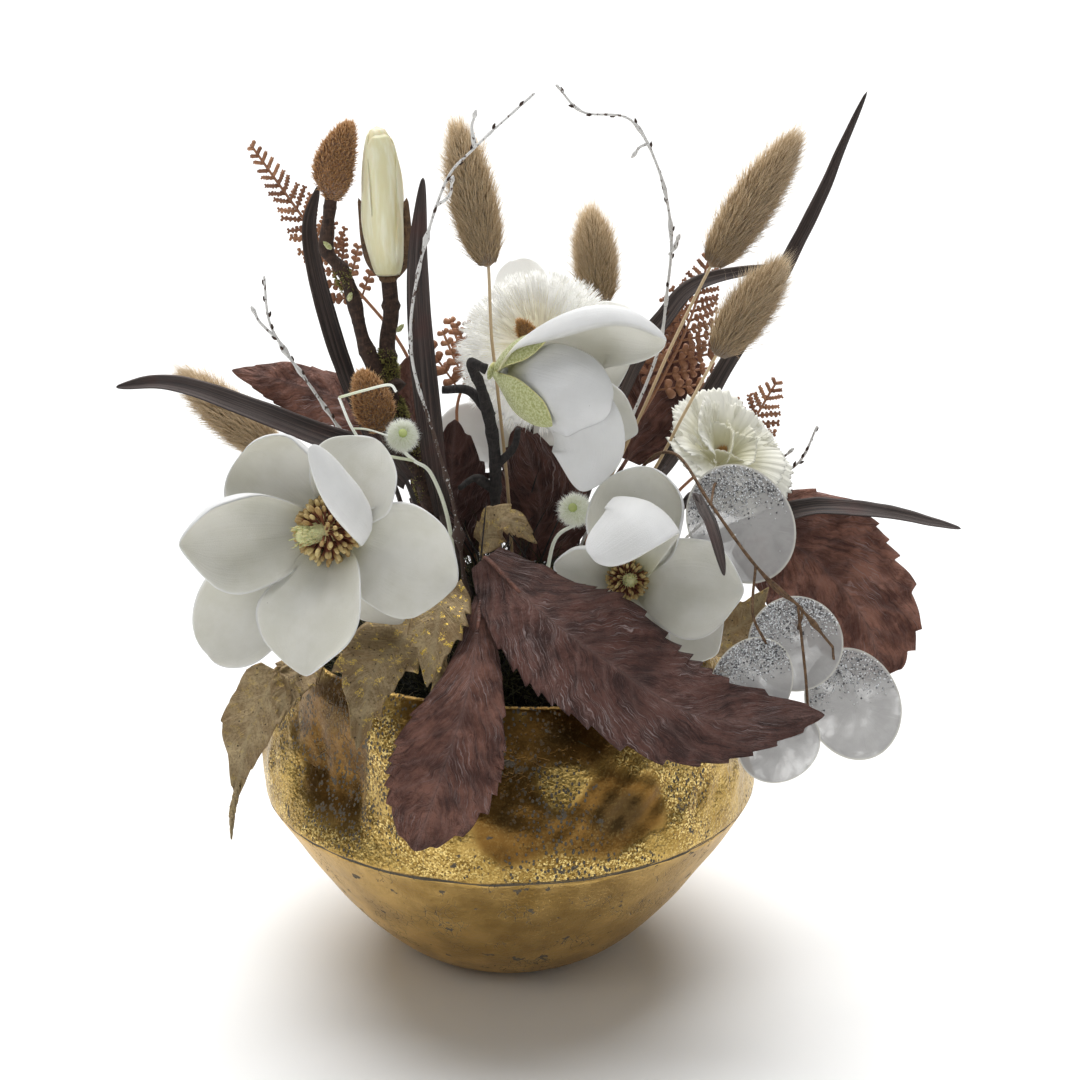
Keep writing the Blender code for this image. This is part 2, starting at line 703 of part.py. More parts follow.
def build_buds(parts):
    """A thick forked magnolia branch with two furry buds and a cream one that is just opening."""
    bark = principled("Bud branch", BARK_BROWN, 0.9)
    fur = principled("Bud fur", BUD_BROWN, 0.95)
    cream = principled("Cream bud", BUD_CREAM, 0.6)
    dark = principled("Bud scale", BARK_BROWN, 0.8)
    points = [(-28, -18, 184), (-39, -18, 219), (-46, -18, 233), (-55, -15, 251), (-60, -12, 271),
              (-66, -10, 291), (-64, -10, 304.5)]
    main = stalk("bud_branch", "bud_branch", points, 0.0036, parts, sides=8, steps=2, end_share=0.62)
    arms = [
        tube("arm_1", in_metres((-44, -17.5, 230), (-45, -12, 250), (-44, -10, 262), (-44, -10, 272.4)),
             0.0031, 0.0026, parts, 8),
        tube("arm_2", in_metres((-34, -18, 206), (-41, -26, 212), (-45.7, -29, 220.3)), 0.0024, 0.0020,
             parts, 6),
    ]
    finish(fuse("bud_branch", main, arms), bark)
    finish(round_head("bud_top", (-64, -10, 305), (-58, -8, 334), 0.0078, parts, (0.03, 0.86, 0.6),
                      bow=(-2, 0, 0)), fur)
    finish(round_head("bud_low", (-46, -29, 221), (-53, -31, 245), 0.0072, parts, (0.03, 0.86, 0.6)), fur)
    body = round_head("bud_cream", (-44, -10, 278), (-47, -11, 331), 0.0082, parts, (0.02, 0.8, 0.42),
                      10, 8, furl=0.07)
    finish(body, cream)
    cup = round_head("bud_cream_scales", (-44, -10, 273), (-44.2, -10, 277.5), 0.0036, parts,
                     (0.0, 1.0, 0.5), 8, 4)
    scales = [
        leaf(f"scale_{k}", [(-44 + 2.6 * x, -10 + 2.6 * y, 275), (-44 + 10 * x, -10 + 10 * y, 285),
                            (-44.5 + 11 * x, -10 + 11 * y, 302)], 0.0056, [(-x, -y, 0)], parts, 4, 2,
             form=(0.15, 0.8, 0.6), fold=0.5)
        for k, (x, y) in enumerate(((-0.92, 0.35), (0.9, 0.42)))
    ]
    finish(fuse("bud_cream_scales", cup, scales), dark)


def build_blades(parts):
    """Seven long strap leaves, near black."""
    dark = principled("Dark blade", BLADE_BROWN, 0.7)
    front = (0.1, -0.95, 0.3)
    blades = (
        ([(-38, -8, 176)], [(-44, -6, 194), (-56, -1, 218), (-67, 3, 249), (-75, 8, 286), (-71, 10, 306)],
         0.0040, [(0.8, -0.5, 0.1), front]),
        ([(-20, -24, 172)], [(-25, -26, 188), (-29, -29, 226), (-32, -25, 274), (-30, -20, 314)],
         0.0048, [(0.3, -0.9, 0.1), (-0.3, -0.9, 0.1)]),
        ([(40, 16, 160)], [(55, 30, 179), (68, 36, 196), (84, 40, 223), (115, 44, 279), (138, 44, 337)],
         0.0042, [(-0.6, -0.75, 0.3), (-0.7, -0.7, 0.2)]),
        ([(-33, -30, 184)], [(-37, -38, 205), (-46, -44, 216), (-65, -48, 224), (-115, -44, 242),
                             (-141, -42, 242)],
         0.0048, [(-0.2, -0.8, 0.55), (0.1, -0.6, 0.8)]),
        ([(28, 22, 172)], [(38, 24, 202), (49, 30, 231), (61, 34, 249), (75, 38, 263), (109, 40, 270)],
         0.0042, [(-0.5, -0.7, 0.4), (0.0, -0.7, 0.7)]),
        ([(58, -10, 158)], [(80, -8, 172), (107, -8, 182), (131, -16, 187), (170, -30, 184)],
         0.0046, [(0.2, -0.6, 0.8), (0.1, -0.5, 0.85)]),
        ([(50, -28, 160), (65, -36, 196)], [(68, -58, 206), (73, -79, 200), (79, -92, 181)],
         0.0034, [(0.2, -0.6, 0.8), (0.5, -0.8, 0.2)]),
    )
    for k, (stem, points, half_width, facing) in enumerate(blades):
        name = f"blade_{k + 1}"
        made = leaf_on_stalk(name, stem, points, half_width, facing, 0.0013, parts, rows=7, columns=2,
                             form=(0.10, 0.9, 0.5), fold=0.5)
        finish(made, dark)


def build_burgundy_leaves(parts):
    """Eight broad saw-edged leaves, two of them large and hanging over the front of the bowl."""
    red = principled("Burgundy leaf", BURGUNDY, 0.65)
    leaves = (
        ("leaf_front", [(-4, -44, 164)], [(-8, -54, 181), (13, -85, 171), (37, -101, 158),
                                          (68, -109, 142), (111, -105, 141)],
         0.0230, [(0.05, -0.8, 0.6)], dict(rows=16, teeth=0.06, form=(0.05, 0.95, 0.75), fold=-0.12,
                                           wave=0.08)),
        ("leaf_hanging", [(-10, -54, 160)], [(-9, -66, 171), (-13, -96, 147), (-22, -113, 122),
                                             (-32, -116, 94)],
         0.0205, [(-0.2, -0.8, 0.55), (-0.1, -0.95, 0.1)],
         dict(rows=14, teeth=0.07, form=(0.10, 1.7, 0.8), fold=-0.15, wave=0.08)),
        ("leaf_right", [(66, 0, 156)], [(94, -4, 176), (118, -12, 168), (139, -24, 151), (150, -35, 128)],
         0.0225, [(0.1, -0.85, 0.5)], dict(rows=12, teeth=0.07, form=(0.05, 0.85, 0.55), fold=0.12,
                                           wave=0.08)),
        ("leaf_inner_left", [(-12, 4, 152)], [(-15, 4, 162), (-22, 4, 186), (-21, 8, 216)],
         0.0170, [(0.1, -0.95, 0.2)], dict(rows=8, columns=2, teeth=0.07)),
        ("leaf_inner_right", [(7, -4, 152)], [(9, -3, 162), (12, 2, 186), (3, 6, 214)],
         0.0190, [(0.0, -0.95, 0.25)], dict(rows=8, columns=2, teeth=0.07)),
        ("leaf_left", [(-32, 10, 168)], [(-44, 12, 208), (-66, 14, 224), (-88, 16, 232), (-108, 18, 235)],
         0.0130, [(0.0, -0.75, 0.65)], dict(rows=10, columns=2, teeth=0.07, fold=-0.15)),
        ("leaf_rear", [(30, 44, 160)], [(48, 60, 184), (60, 66, 212), (70, 70, 242)],
         0.0200, [(0.1, -0.9, 0.3)], dict(rows=10, columns=2, teeth=0.07)),
        ("leaf_small", [(-22, 18, 164)], [(-36, 24, 200), (-39, 24, 222), (-38, 24, 238)],
         0.0100, [(0.0, -0.95, 0.2)], dict(rows=6, columns=2, teeth=0.07)),
    )
    for name, stem, points, half_width, facing, shape in leaves:
        finish(leaf_on_stalk(name, stem, points, half_width, facing, 0.0012, parts, **shape), red)


def build_gold_leaves(parts):
    """Four sprays of small gilded leaves with cut edges, on thin stems."""
    gold = principled("Gilded leaf", LEAF_GOLD, 0.45, 0.5)
    cut = dict(rows=6, columns=2, teeth=0.12, form=(0.06, 0.8, 0.6), fold=0.15, wave=0.15)
    sprays = (
        ("gold_left", [(-60, -42, 138), (-72, -50, 141.5), (-80, -57, 140)], (
            ([(-84, -61, 135), (-92, -68, 122), (-99, -74, 106), (-105, -78, 84)], 0.0105,
             (-0.5, -0.8, 0.3)),
            ([(-72, -50, 141.5), (-80, -64, 135), (-83, -74, 124)], 0.0080, (0.1, -0.8, 0.5)),
        )),
        ("gold_centre", [(-32, -57, 156), (-26, -62, 170)], (
            ([(-24, -66, 175), (-27, -80, 162), (-31, -90, 144)], 0.0095, (-0.1, -0.9, 0.4)),
            ([(-32, -57, 156), (-49, -80, 144), (-56, -98, 128)], 0.0115, (-0.3, -0.85, 0.45)),
        )),
        ("gold_small", [(-9, -36, 170)], (
            ([(-10, -37, 180), (-1, -43, 192), (11, -47, 184)], 0.0070, (0.1, -0.7, 0.7)),
        )),
        ("gold_right", [(56, -42, 144)], (
            ([(71, -41, 146), (86, -42, 149), (97, -44, 166)], 0.0095, (-0.2, -0.9, 0.3)),
        )),
    )
    for name, stem, leaves in sprays:
        first = in_metres(*leaves[0][0])
        carrier = stalk(name, name, [*stem, leaves[0][0][0], tuple(route_point(first, 0.15) / MM)],
                        0.0010, parts)
        made = [
            leaf(f"{name}_{k}", points, half_width, [facing], parts, **cut)
            for k, (points, half_width, facing) in enumerate(leaves)
        ]
        finish(fuse(name, carrier, made), gold)


def build_twigs(parts):
    """Four thin whitewashed birch twigs with side spurs and catkin tips."""
    white = principled("White twig", TWIG_WHITE, 0.8)
    twigs = (
        ([(-44, -14, 186), (-63, -22, 221), (-73, -24, 238), (-82, -25, 252), (-87, -25, 263),
          (-88, -25, 279)],
         (((-84.5, -25, 256), (-90, -26, 262), (-92, -26, 266)),)),
        ([(-19, -38, 190), (-26, -42, 222), (-34, -42, 253), (-32, -38, 280), (-22, -34, 313),
          (-11, -30, 326), (10, -14, 343)],
         (((-25, -35, 306), (-20, -36, 310), (-19, -37, 315)),
          ((-11, -30, 326), (-12, -31, 333), (-11, -31, 337)))),
        ([(40, 12, 196), (57, 20, 237), (61, 20, 264), (62, 20, 287), (57, 20, 310), (46, 20, 329),
          (28, 20, 332), (18, 20, 342)],
         (((61.5, 20, 278), (66, 19, 284), (67, 19, 288)), ((52, 20, 320), (47, 18, 318), (44, 18, 314)))),
        ([(72, 22, 164), (98, 30, 182), (112, 32, 188), (118, 33, 194), (123, 34, 206)],
         (((104, 31, 184), (108, 31, 192), (112, 31, 196)),)),
    )
    for k, (points, spurs) in enumerate(twigs):
        name = f"twig_{k + 1}"
        main = stalk(name, name, points, 0.0011, parts, end_share=0.7)
        made = [tube(f"spur_{j}", in_metres(*spur), 0.0009, 0.0007, parts) for j, spur in enumerate(spurs)]
        finish(fuse(name, main, made), white)


def frond(name, entry, points, reach_out, pairs, facing, parts, start=0.3):
    """A fern frond: a rib with pairs of toothed leaflets that shorten to its tip."""
    route = in_metres(*points)
    rib = stalk(name, entry, points, 0.0009, parts, end_share=0.7)
    look = Vector(facing).normalized()
    leaflets = []
    for k in range(pairs):
        share = k / (pairs - 1)
        t = start + (0.96 - start) * share
        ahead = route_direction(route, t)
        across = ahead.cross(look).normalized()
        span = reach_out * (1 - 0.78 * share**1.3)
        for side in (-1, 1):
            root = route_point(route, min(t + 0.004 * side, 1.0))
            way = (across * side * 0.86 + ahead * 0.5).normalized()
            tip = root + way * span + look * (-0.08 * span)
            middle = (root + tip) / 2 + look * 0.05 * span
            leaflet = leaf(f"{name}_{k}_{side}", [tuple(p / MM) for p in (root, middle, tip)],
                           0.0028 * (1 - 0.4 * share), [facing], parts, 3, 1, teeth=0.30,
                           form=(0.2, 0.8, 0.5), fold=0.0)
            leaflets.append(leaflet)
    return fuse(name, rib, leaflets)


def build_ferns(parts):
    """Four copper fern fronds at the back."""
    copper = principled("Copper fern", FERN_COPPER, 0.6)
    fronds = (
        ("fern_1", [(-26, 24, 200), (-42, 27, 240), (-64, 30, 268), (-83, 32, 295), (-99, 34, 318)],
         0.023, 6, (0.1, -0.95, 0.2), 0.42),
        ("fern_2", [(-14, 20, 186), (-21, 26, 214), (-12, 32, 234), (4, 36, 250)], 0.021, 5,
         (0.1, -0.95, 0.2), 0.45),
        ("fern_3", [(38, 46, 180), (58, 56, 212), (72, 57, 242), (80, 57, 270)], 0.025, 6,
         (0.05, -0.95, 0.2), 0.36),
        ("fern_4", [(66, 34, 176), (92, 44, 196), (108, 50, 220)], 0.021, 4, (0.1, -0.9, 0.35), 0.40),
    )
    for name, points, reach_out, pairs, facing, start in fronds:
        finish(frond(name, name, points, reach_out, pairs, facing, parts, start), copper)


def build_tails(parts):
    """Five bunny-tail grasses: an oval bristly head on a fine straw."""
    tan = principled("Grass tail", TAIL_TAN, 0.95)
    tails = (
        ("tail_1", [(0, -12, 190), (-4, -17, 236), (-6, -17, 256)], (-7, -10, 279), (-18, -10, 330),
         0.0088),
        ("tail_2", [(34, 1, 184), (50, 2, 218), (62, 4, 246)], (76, 5, 276), (107, 10, 324), 0.0092),
        ("tail_3", [(42, -8, 178), (56, -15, 204), (66, -14, 224)], (78, -8, 245), (100, -10, 279), 0.0088),
        ("tail_4", [(20, 34, 188), (30, 40, 224)], (36, 42, 252), (32, 44, 288), 0.0086),
        ("tail_5", [(-48, 2, 166), (-72, 2, 182)], (-88, 6, 200), (-126, 14, 232), 0.0086),
    )
    form = (0.03, 0.8, 0.55)
    for name, stem, base, tip, radius in tails:
        inner = tuple(Vector(base).lerp(Vector(tip), 0.12))
        straw = stalk(name, name, [*stem, base, inner], 0.0008, parts, end_share=0.8)
        body = round_head(name + "_head", base, tip, radius * 0.86, parts, form, 7, 5)
        hairs = bristles(name, base, tip, radius * 0.8, 8, 0.0100, math.radians(58), parts, form, 0.0016)
        finish(fuse(name, straw, [body, *hairs]), tan)


def pod(name, thread, centre, facing, tall, wide, lean, collection):
    """A thin oval seed disc that looks along `facing` and leans by `lean` degrees, with its thread.

    The thread's points, the centre and the sizes are in millimetres. The thread runs into the disc's face.
    """
    look = Vector(facing).normalized()
    up = (Vector((0, 0, 1)) - look * look.z).normalized()
    turn = math.radians(lean)
    tall_way = up * math.cos(turn) + up.cross(look) * math.sin(turn)
    wide_way = tall_way.cross(look)
    middle = Vector(centre)
    shape = bmesh.new()
    bmesh.ops.create_circle(shape, cap_ends=True, segments=14, radius=0.5)
    bmesh.ops.triangulate(shape, faces=shape.faces)
    for vertex in shape.verts:
        across, along = vertex.co.x * wide, vertex.co.y * tall
        vertex.co = (middle + wide_way * across + tall_way * along) * MM
    disc = object_of(name, shape, collection)
    solidify = disc.modifiers.new("Thickness", "SOLIDIFY")
    solidify.thickness = POD_THICKNESS
    solidify.offset = 0.0
    route = in_metres(*thread, middle + tall_way * tall * 0.38, middle + tall_way * tall * 0.12)
    return [disc, tube(name + "_thread", route, 0.0008, 0.0008, collection)]


def build_honesty(parts):
    """A spray of honesty: five thin silvery seed discs on wiry stems."""
    silver = principled("Honesty", POD_SILVER, 0.5)
    points = [(38, -14, 176), (54, -24, 206), (68, -46, 220), (82, -74, 210), (94, -87, 188),
              (108, -90, 168),
              (119, -89, 152)]
    main = stalk("honesty", "honesty", points, 0.0009, parts)
    pods = (
        ([(82, -74, 210)], (88.5, -57, 195), (0.05, -0.93, 0.35), 44, 36, 28),
        ([(94, -87, 188), (98, -86, 178)], (103, -81, 158), (0.0, -0.95, 0.3), 34, 34, 8),
        ([(119, -89, 152)], (124, -84, 136), (0.05, -0.96, 0.25), 42, 34, -24),
        ([(94, -87, 188), (88, -94, 174)], (86, -95, 148), (-0.1, -0.95, 0.25), 36, 28, 25),
        ([(108, -90, 168), (109, -98, 150)], (96, -101, 128), (-0.05, -0.95, 0.25), 30, 26, 55),
    )
    made = [pod(f"pod_{k + 1}", *shape, parts) for k, shape in enumerate(pods)]
    finish(fuse("honesty", main, [piece for pair in made for piece in pair]), silver)


def build_pompoms(parts):
    """Two small fuzzy pompoms on white stalks, the left one with a forked stalk."""
    white = principled("Pompom", FEATHER_WHITE, 0.95)
    forks = [tube("fork", in_metres((-34, -41, 214), (-50, -60, 222), (-56, -60, 235), (-41, -58, 240)),
                  0.0009, 0.0008, parts)]
    heads = (
        ("pompom_left", [(-22, -28, 184), (-28, -33, 206), (-34, -41, 214)], (-38, -43, 223), 0.0072,
         forks),
        ("pompom_right", [(17, -24, 176)], (25, -32, 192), 0.0066, []),
    )
    for name, stem, centre, radius, extra in heads:
        low = (centre[0], centre[1], centre[2] - radius / MM * 0.8)
        high = (centre[0], centre[1], centre[2] + radius / MM * 0.8)
        carrier = stalk(name, name, [*stem, low, centre], 0.0009, parts, end_share=0.8)
        body = round_head(name + "_head", low, high, radius * 0.72, parts, (0.0, 1.0, 0.55), 7, 5)
        hairs = bristles(name, low, high, radius * 0.7, 9, radius * 0.62, 0.1, parts, (0.0, 1.0, 0.55),
                         0.0012)
        finish(fuse(name, carrier, [body, *hairs, *extra]), white)


# Bowl and foam


def bowl_point(angle, share):
    """The bowl's outer skin: share 0 to 1 is the lower half, 1 to 2 the shoulder up to the rim.

    The lower half opens from the flat base to the belly and steepens as it rises. The shoulder leans in
    to the rim, pressed in by broad dents, and the rim waves up and down a little.
    """
    if share <= 1:
        radius = BOWL_BASE_RADIUS + (BOWL_BELLY_RADIUS - BOWL_BASE_RADIUS) * share
        height = BOWL_BELLY_HEIGHT * share**1.54
    else:
        rise = share - 1
        radius = BOWL_BELLY_RADIUS + (BOWL_RIM_RADIUS - BOWL_BELLY_RADIUS) * rise**1.9
        height = BOWL_BELLY_HEIGHT + (BOWL_RIM_HEIGHT - BOWL_BELLY_HEIGHT) * rise
        shoulder = math.sin(math.pi * min(rise * 1.15, 1.0)) ** 1.2
        pressed = math.cos(3 * angle + 0.6) + 0.7 * math.cos(5 * angle - 1.1 + 2 * rise)
        radius -= DENT_DEPTH * shoulder * max(pressed, -0.5)
        radius += 0.6 * RIM_WAVE * rise * math.cos(4 * angle + 0.4)
        height += RIM_WAVE * rise**3 * math.cos(3 * angle - 0.8)
    return Vector((radius * math.cos(angle), radius * math.sin(angle), height))


def build_bowl(parts):
    """An open shell with a flat base: an opened ball drawn into the bowl's skin, with its wall inside."""
    rings = 1 + BOWL_LOWER_RINGS + BOWL_UPPER_RINGS
    shape = bmesh.new()
    bmesh.ops.create_uvsphere(shape, u_segments=BOWL_SEGMENTS, v_segments=rings + 1, radius=1.0)
    shape.verts.ensure_lookup_table()
    top = max(shape.verts, key=lambda vertex: vertex.co.z)
    bmesh.ops.delete(shape, geom=[top], context="VERTS")
    for vertex in shape.verts:
        angle = math.atan2(vertex.co.y, vertex.co.x)
        ring = round(math.acos(max(-1.0, min(1.0, -vertex.co.z))) / math.pi * (rings + 1))
        if ring == 0:
            vertex.co = (0, 0, 0)
            continue
        lower = min(ring - 1, BOWL_LOWER_RINGS) / BOWL_LOWER_RINGS
        upper = max(ring - 1 - BOWL_LOWER_RINGS, 0) / BOWL_UPPER_RINGS
        vertex.co = bowl_point(angle, lower + upper)
    bmesh.ops.recalc_face_normals(shape, faces=shape.faces)
    bowl = object_of("bowl", shape, parts)
    wall = bowl.modifiers.new("Wall", "SOLIDIFY")
    wall.thickness = BOWL_WALL
    wall.offset = -1.0
    return finish(bowl, principled("Gold", GOLD, 0.35, 1.0))


def build_foam(parts, cutters):
    """A turned block with a domed top, and one plain hole for each stem."""
    profile = [(0.0, FOAM_CROWN)]
    for k in range(1, FOAM_RINGS + 1):
        radius = FOAM_SHOULDER_RADIUS * k / FOAM_RINGS
        profile.append((radius, foam_top(radius, 0)))
    profile += [
        (FOAM_WAIST_RADIUS, FOAM_WAIST_HEIGHT),
        (FOAM_FLOOR_RADIUS, FOAM_FLOOR),
        (0.0, FOAM_FLOOR),
    ]
    shape = bmesh.new()
    line = [shape.verts.new((radius, 0, height)) for radius, height in profile]
    for start, end in zip(line, line[1:]):
        shape.edges.new((start, end))
    foam = object_of("foam_block", shape, parts)
    turn = foam.modifiers.new("Turn", "SCREW")
    turn.steps = turn.render_steps = FOAM_SEGMENTS
    turn.use_merge_vertices = True
    turn.merge_threshold = 0.0001
    drills = bpy.data.collections.new("Stem holes")
    cutters.children.link(drills)
    for k, (x, y, top, radius) in enumerate(holes):
        shape = bmesh.new()
        wide = (radius + HOLE_CLEARANCE / 2) / math.cos(math.pi / HOLE_SIDES)
        tall = HOLE_DEPTH + 0.02
        bmesh.ops.create_cone(
            shape, cap_ends=True, segments=HOLE_SIDES, radius1=wide, radius2=wide, depth=tall
        )
        shape.transform(Matrix.Translation((x, y, top - HOLE_DEPTH + tall / 2)))
        drill = object_of(f"drill_{k}", shape, drills)
        drill.hide_render = True
        drill.display_type = "WIRE"
    bore = foam.modifiers.new("Stem holes", "BOOLEAN")
    bore.operation = "DIFFERENCE"
    bore.operand_type = "COLLECTION"
    bore.collection = drills
    bore.solver = "EXACT"
    return finish(foam, principled("Foam", FOAM_DARK, 0.95))


def main():
    parts, cutters = clear_scene()
    places.update(spread(ENTRIES))
    build_magnolias(parts)
    build_feather_flowers(parts)
    build_buds(parts)
    build_blades(parts)
    build_burgundy_leaves(parts)
    build_gold_leaves(parts)
    build_twigs(parts)
    build_ferns(parts)
    build_tails(parts)
    build_honesty(parts)
    build_pompoms(parts)
    build_bowl(parts)
    build_foam(parts, cutters)


main()
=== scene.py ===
"""Looks of the floral table centrepiece: fine petals, leaves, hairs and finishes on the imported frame.

Every new piece is worked out as whole arrays of points, in metres, where the frame's own parts are.
Places along a stem or leaf are in millimetres, as they were measured.
"""

import math

import bpy
import numpy as np
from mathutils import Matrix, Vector


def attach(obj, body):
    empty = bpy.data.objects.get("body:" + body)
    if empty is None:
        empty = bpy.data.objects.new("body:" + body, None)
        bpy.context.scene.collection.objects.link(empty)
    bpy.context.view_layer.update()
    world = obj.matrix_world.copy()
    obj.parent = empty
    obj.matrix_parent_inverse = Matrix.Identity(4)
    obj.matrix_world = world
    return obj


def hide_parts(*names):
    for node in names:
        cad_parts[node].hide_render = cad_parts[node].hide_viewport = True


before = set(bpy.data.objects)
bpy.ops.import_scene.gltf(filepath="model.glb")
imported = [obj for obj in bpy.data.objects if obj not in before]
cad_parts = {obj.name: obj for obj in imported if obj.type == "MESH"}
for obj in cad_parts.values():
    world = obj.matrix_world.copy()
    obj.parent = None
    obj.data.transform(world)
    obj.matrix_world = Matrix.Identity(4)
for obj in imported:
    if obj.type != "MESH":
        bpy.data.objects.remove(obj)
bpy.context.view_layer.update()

MM = 0.001
TAU = 2 * math.pi
GOLDEN_ANGLE = math.pi * (3 - math.sqrt(5))

# A drift's number of waves, and the way between a bark's rings
WAVES = 10
RING_GAP = 0.0035

# Driving dimensions in metres, the same as the solids have
BOWL_BASE_RADIUS = 0.036
BOWL_BELLY_RADIUS = 0.0985
BOWL_BELLY_HEIGHT = 0.071
BOWL_RIM_RADIUS = 0.081
BOWL_RIM_HEIGHT = 0.131
BOWL_WALL = 0.0025
DENT_DEPTH = 0.0045
RIM_WAVE = 0.0022
FOAM_CROWN = 0.146
FOAM_SHOULDER_HEIGHT = 0.116
FOAM_SHOULDER_RADIUS = 0.072
HOLE_DEPTH = 0.020
FOOT_REACH = 0.06
FOOT_SLACK = 0.0016
RECEPTACLE = 0.003
LEAF_THICKNESS = 0.0007
PETAL_THICKNESS = 0.0010
FAN_THICKNESS = 0.0005

# Radii of threads and stems, in metres
BARB_GIRTH = 0.00013
BLADE_STEM = 0.0013
LEAF_STEM = 0.0012
GOLD_LEAF_STEM = 0.0010
FROND_STEM = 0.0009
THIN_STEM = 0.0007

# An arc is never straighter than this, in radians
LEAST_SWEEP = 0.01

# Counts
PETAL_ROWS = 50
PETAL_COLUMNS = 37
FAN_ROWS = 26
FAN_COLUMNS = 71
MOSS_THREADS = 7600
DARK_WIRES = 120
LOBES = 5
BRANCH_SIDES = 14
PISTILS = 34
POMPOM_HAIRS = 2600
CONE_HAIRS = 1500
BUD_HAIRS = 3000
TAIL_HAIRS = 5600
TAIL_STRAYS = 420
BOWL_CORNERS = 420

# The view and the floor; the photograph's frame is 1080 pixels wide
CAMERA_PLACE = (0.012, -0.773, 0.434)
CAMERA_TILT = 18.9
SENSOR = 36
FOCAL_PIXELS = 2091
FRAME_PIXELS = 1080
FLOOR_HALF = 12.0
FLOOR_GAP = 0.0004


# Numbers and routes


def metres(places):
    """Places given in millimetres, as an array in metres."""
    return np.array(places, float) * MM


def unit(ways):
    """Vectors at length one."""
    ways = np.asarray(ways, float)
    return ways / np.maximum(np.linalg.norm(ways, axis=-1, keepdims=True), 1e-12)


def span_lengths(route):
    """The lengths of a route's straight spans."""
    return np.linalg.norm(np.diff(route, axis=0), axis=1)


def grown(out, across, up, turn):
    """Local points that grow out along the direction `turn`, to its left by `across`, and up the axis."""
    return np.stack([out * math.cos(turn) - across * math.sin(turn),
                     out * math.sin(turn) + across * math.cos(turn), up], -1)


def around(radius, angle, height):
    """Points round local Z, from their radius, angle and height."""
    return np.stack([radius * np.cos(angle), radius * np.sin(angle), height], -1)


def rays(angle, side, up):
    """Rays round a line, in the plane of the two directions square to it."""
    return np.cos(angle)[..., None] * side + np.sin(angle)[..., None] * up


def route_point(points, t):
    """Points at t, from 0 to 1, on a Catmull-Rom curve through points in metres.

    Each span is the cubic that passes its two ends with the slopes of their neighbours.
    """
    points = np.asarray(points, float)
    spans = len(points) - 1
    place = np.clip(t, 0, 1) * spans
    span = np.minimum(place.astype(int), spans - 1)
    s = (place - span)[..., None]
    padded = np.vstack([2 * points[0] - points[1], points, 2 * points[-1] - points[-2]])
    before, start, end, after = (padded[span + k] for k in range(4))
    slope = (end - before) * s
    bend = (2 * before - 5 * start + 4 * end - after) * s**2
    twist = (3 * start - before - 3 * end + after) * s**3
    return (2 * start + slope + bend + twist) / 2


def route_direction(points, t):
    """Unit directions of travel at t, from points a hundredth ahead and behind."""
    step = 0.01
    ahead = route_point(points, np.clip(t + step, 0, 1))
    return unit(ahead - route_point(points, np.clip(t - step, 0, 1)))


def swell(t, start, lean, fullness):
    """A share of the width at t: a raised sine that is zero at the tip and keeps some width at the root."""
    return np.maximum(np.sin(math.pi * np.clip(start + (1 - start) * t, 0, 1) ** lean), 0) ** fullness


def drift(points, size, seed):
    """Smooth unevenness, mostly -1 to 1: a sum of sine waves that cross the points in chance directions."""
    rng = np.random.default_rng(seed)
    ways = unit(rng.normal(size=(WAVES, 3))) * (TAU / size) * rng.uniform(0.6, 1.5, (WAVES, 1))
    return np.sin(points @ ways.T + rng.uniform(0, TAU, WAVES)).sum(-1) / math.sqrt(WAVES)


def bump_at(x, centre, width):
    """A bell of height one at the centre."""
    return np.exp(-(((x - centre) / width) ** 2))


def patch(rows, columns):
    """The two parameters of a grid: t from 0 to 1 down the rows, v from -1 to 1 across the columns."""
    return np.meshgrid(np.linspace(0, 1, rows), np.linspace(-1, 1, columns), indexing="ij")


def spiral(count):
    """Angles a golden angle apart, and the share from 0 to 1 of each."""
    k = np.arange(count)
    return k * GOLDEN_ANGLE, (k + 0.5) / count


def round_ways(axis):
    """Two unit vectors square to each axis and to each other, so that side x up runs along the axis."""
    axis = np.atleast_2d(axis)
    helper = np.where(np.abs(axis[:, 2:3]) < 0.8, [[0.0, 0.0, 1.0]], [[1.0, 0.0, 0.0]])
    side = unit(np.cross(axis, helper))
    return side, np.cross(axis, side)


class Spot:
    """A place to build on: an origin, and an axis that local +Z is turned to."""

    def __init__(self, origin, axis):
        turn = Vector((0, 0, 1)).rotation_difference(Vector(axis).normalized())
        self.origin = metres(origin)
        self.turn = np.array(turn.to_matrix())

    def world(self, local):
        """Where local points are in the frame."""
        return local @ self.turn.T + self.origin

    def way(self, local):
        """A local direction, in the frame."""
        return local @ self.turn.T

    def above(self, height):
        """The point on the axis at a height."""
        return self.world(np.array([0, 0, height]))

    def local(self, world):
        """Where points of the frame are as seen from the spot."""
        return (world - self.origin) @ self.turn


# Shapes


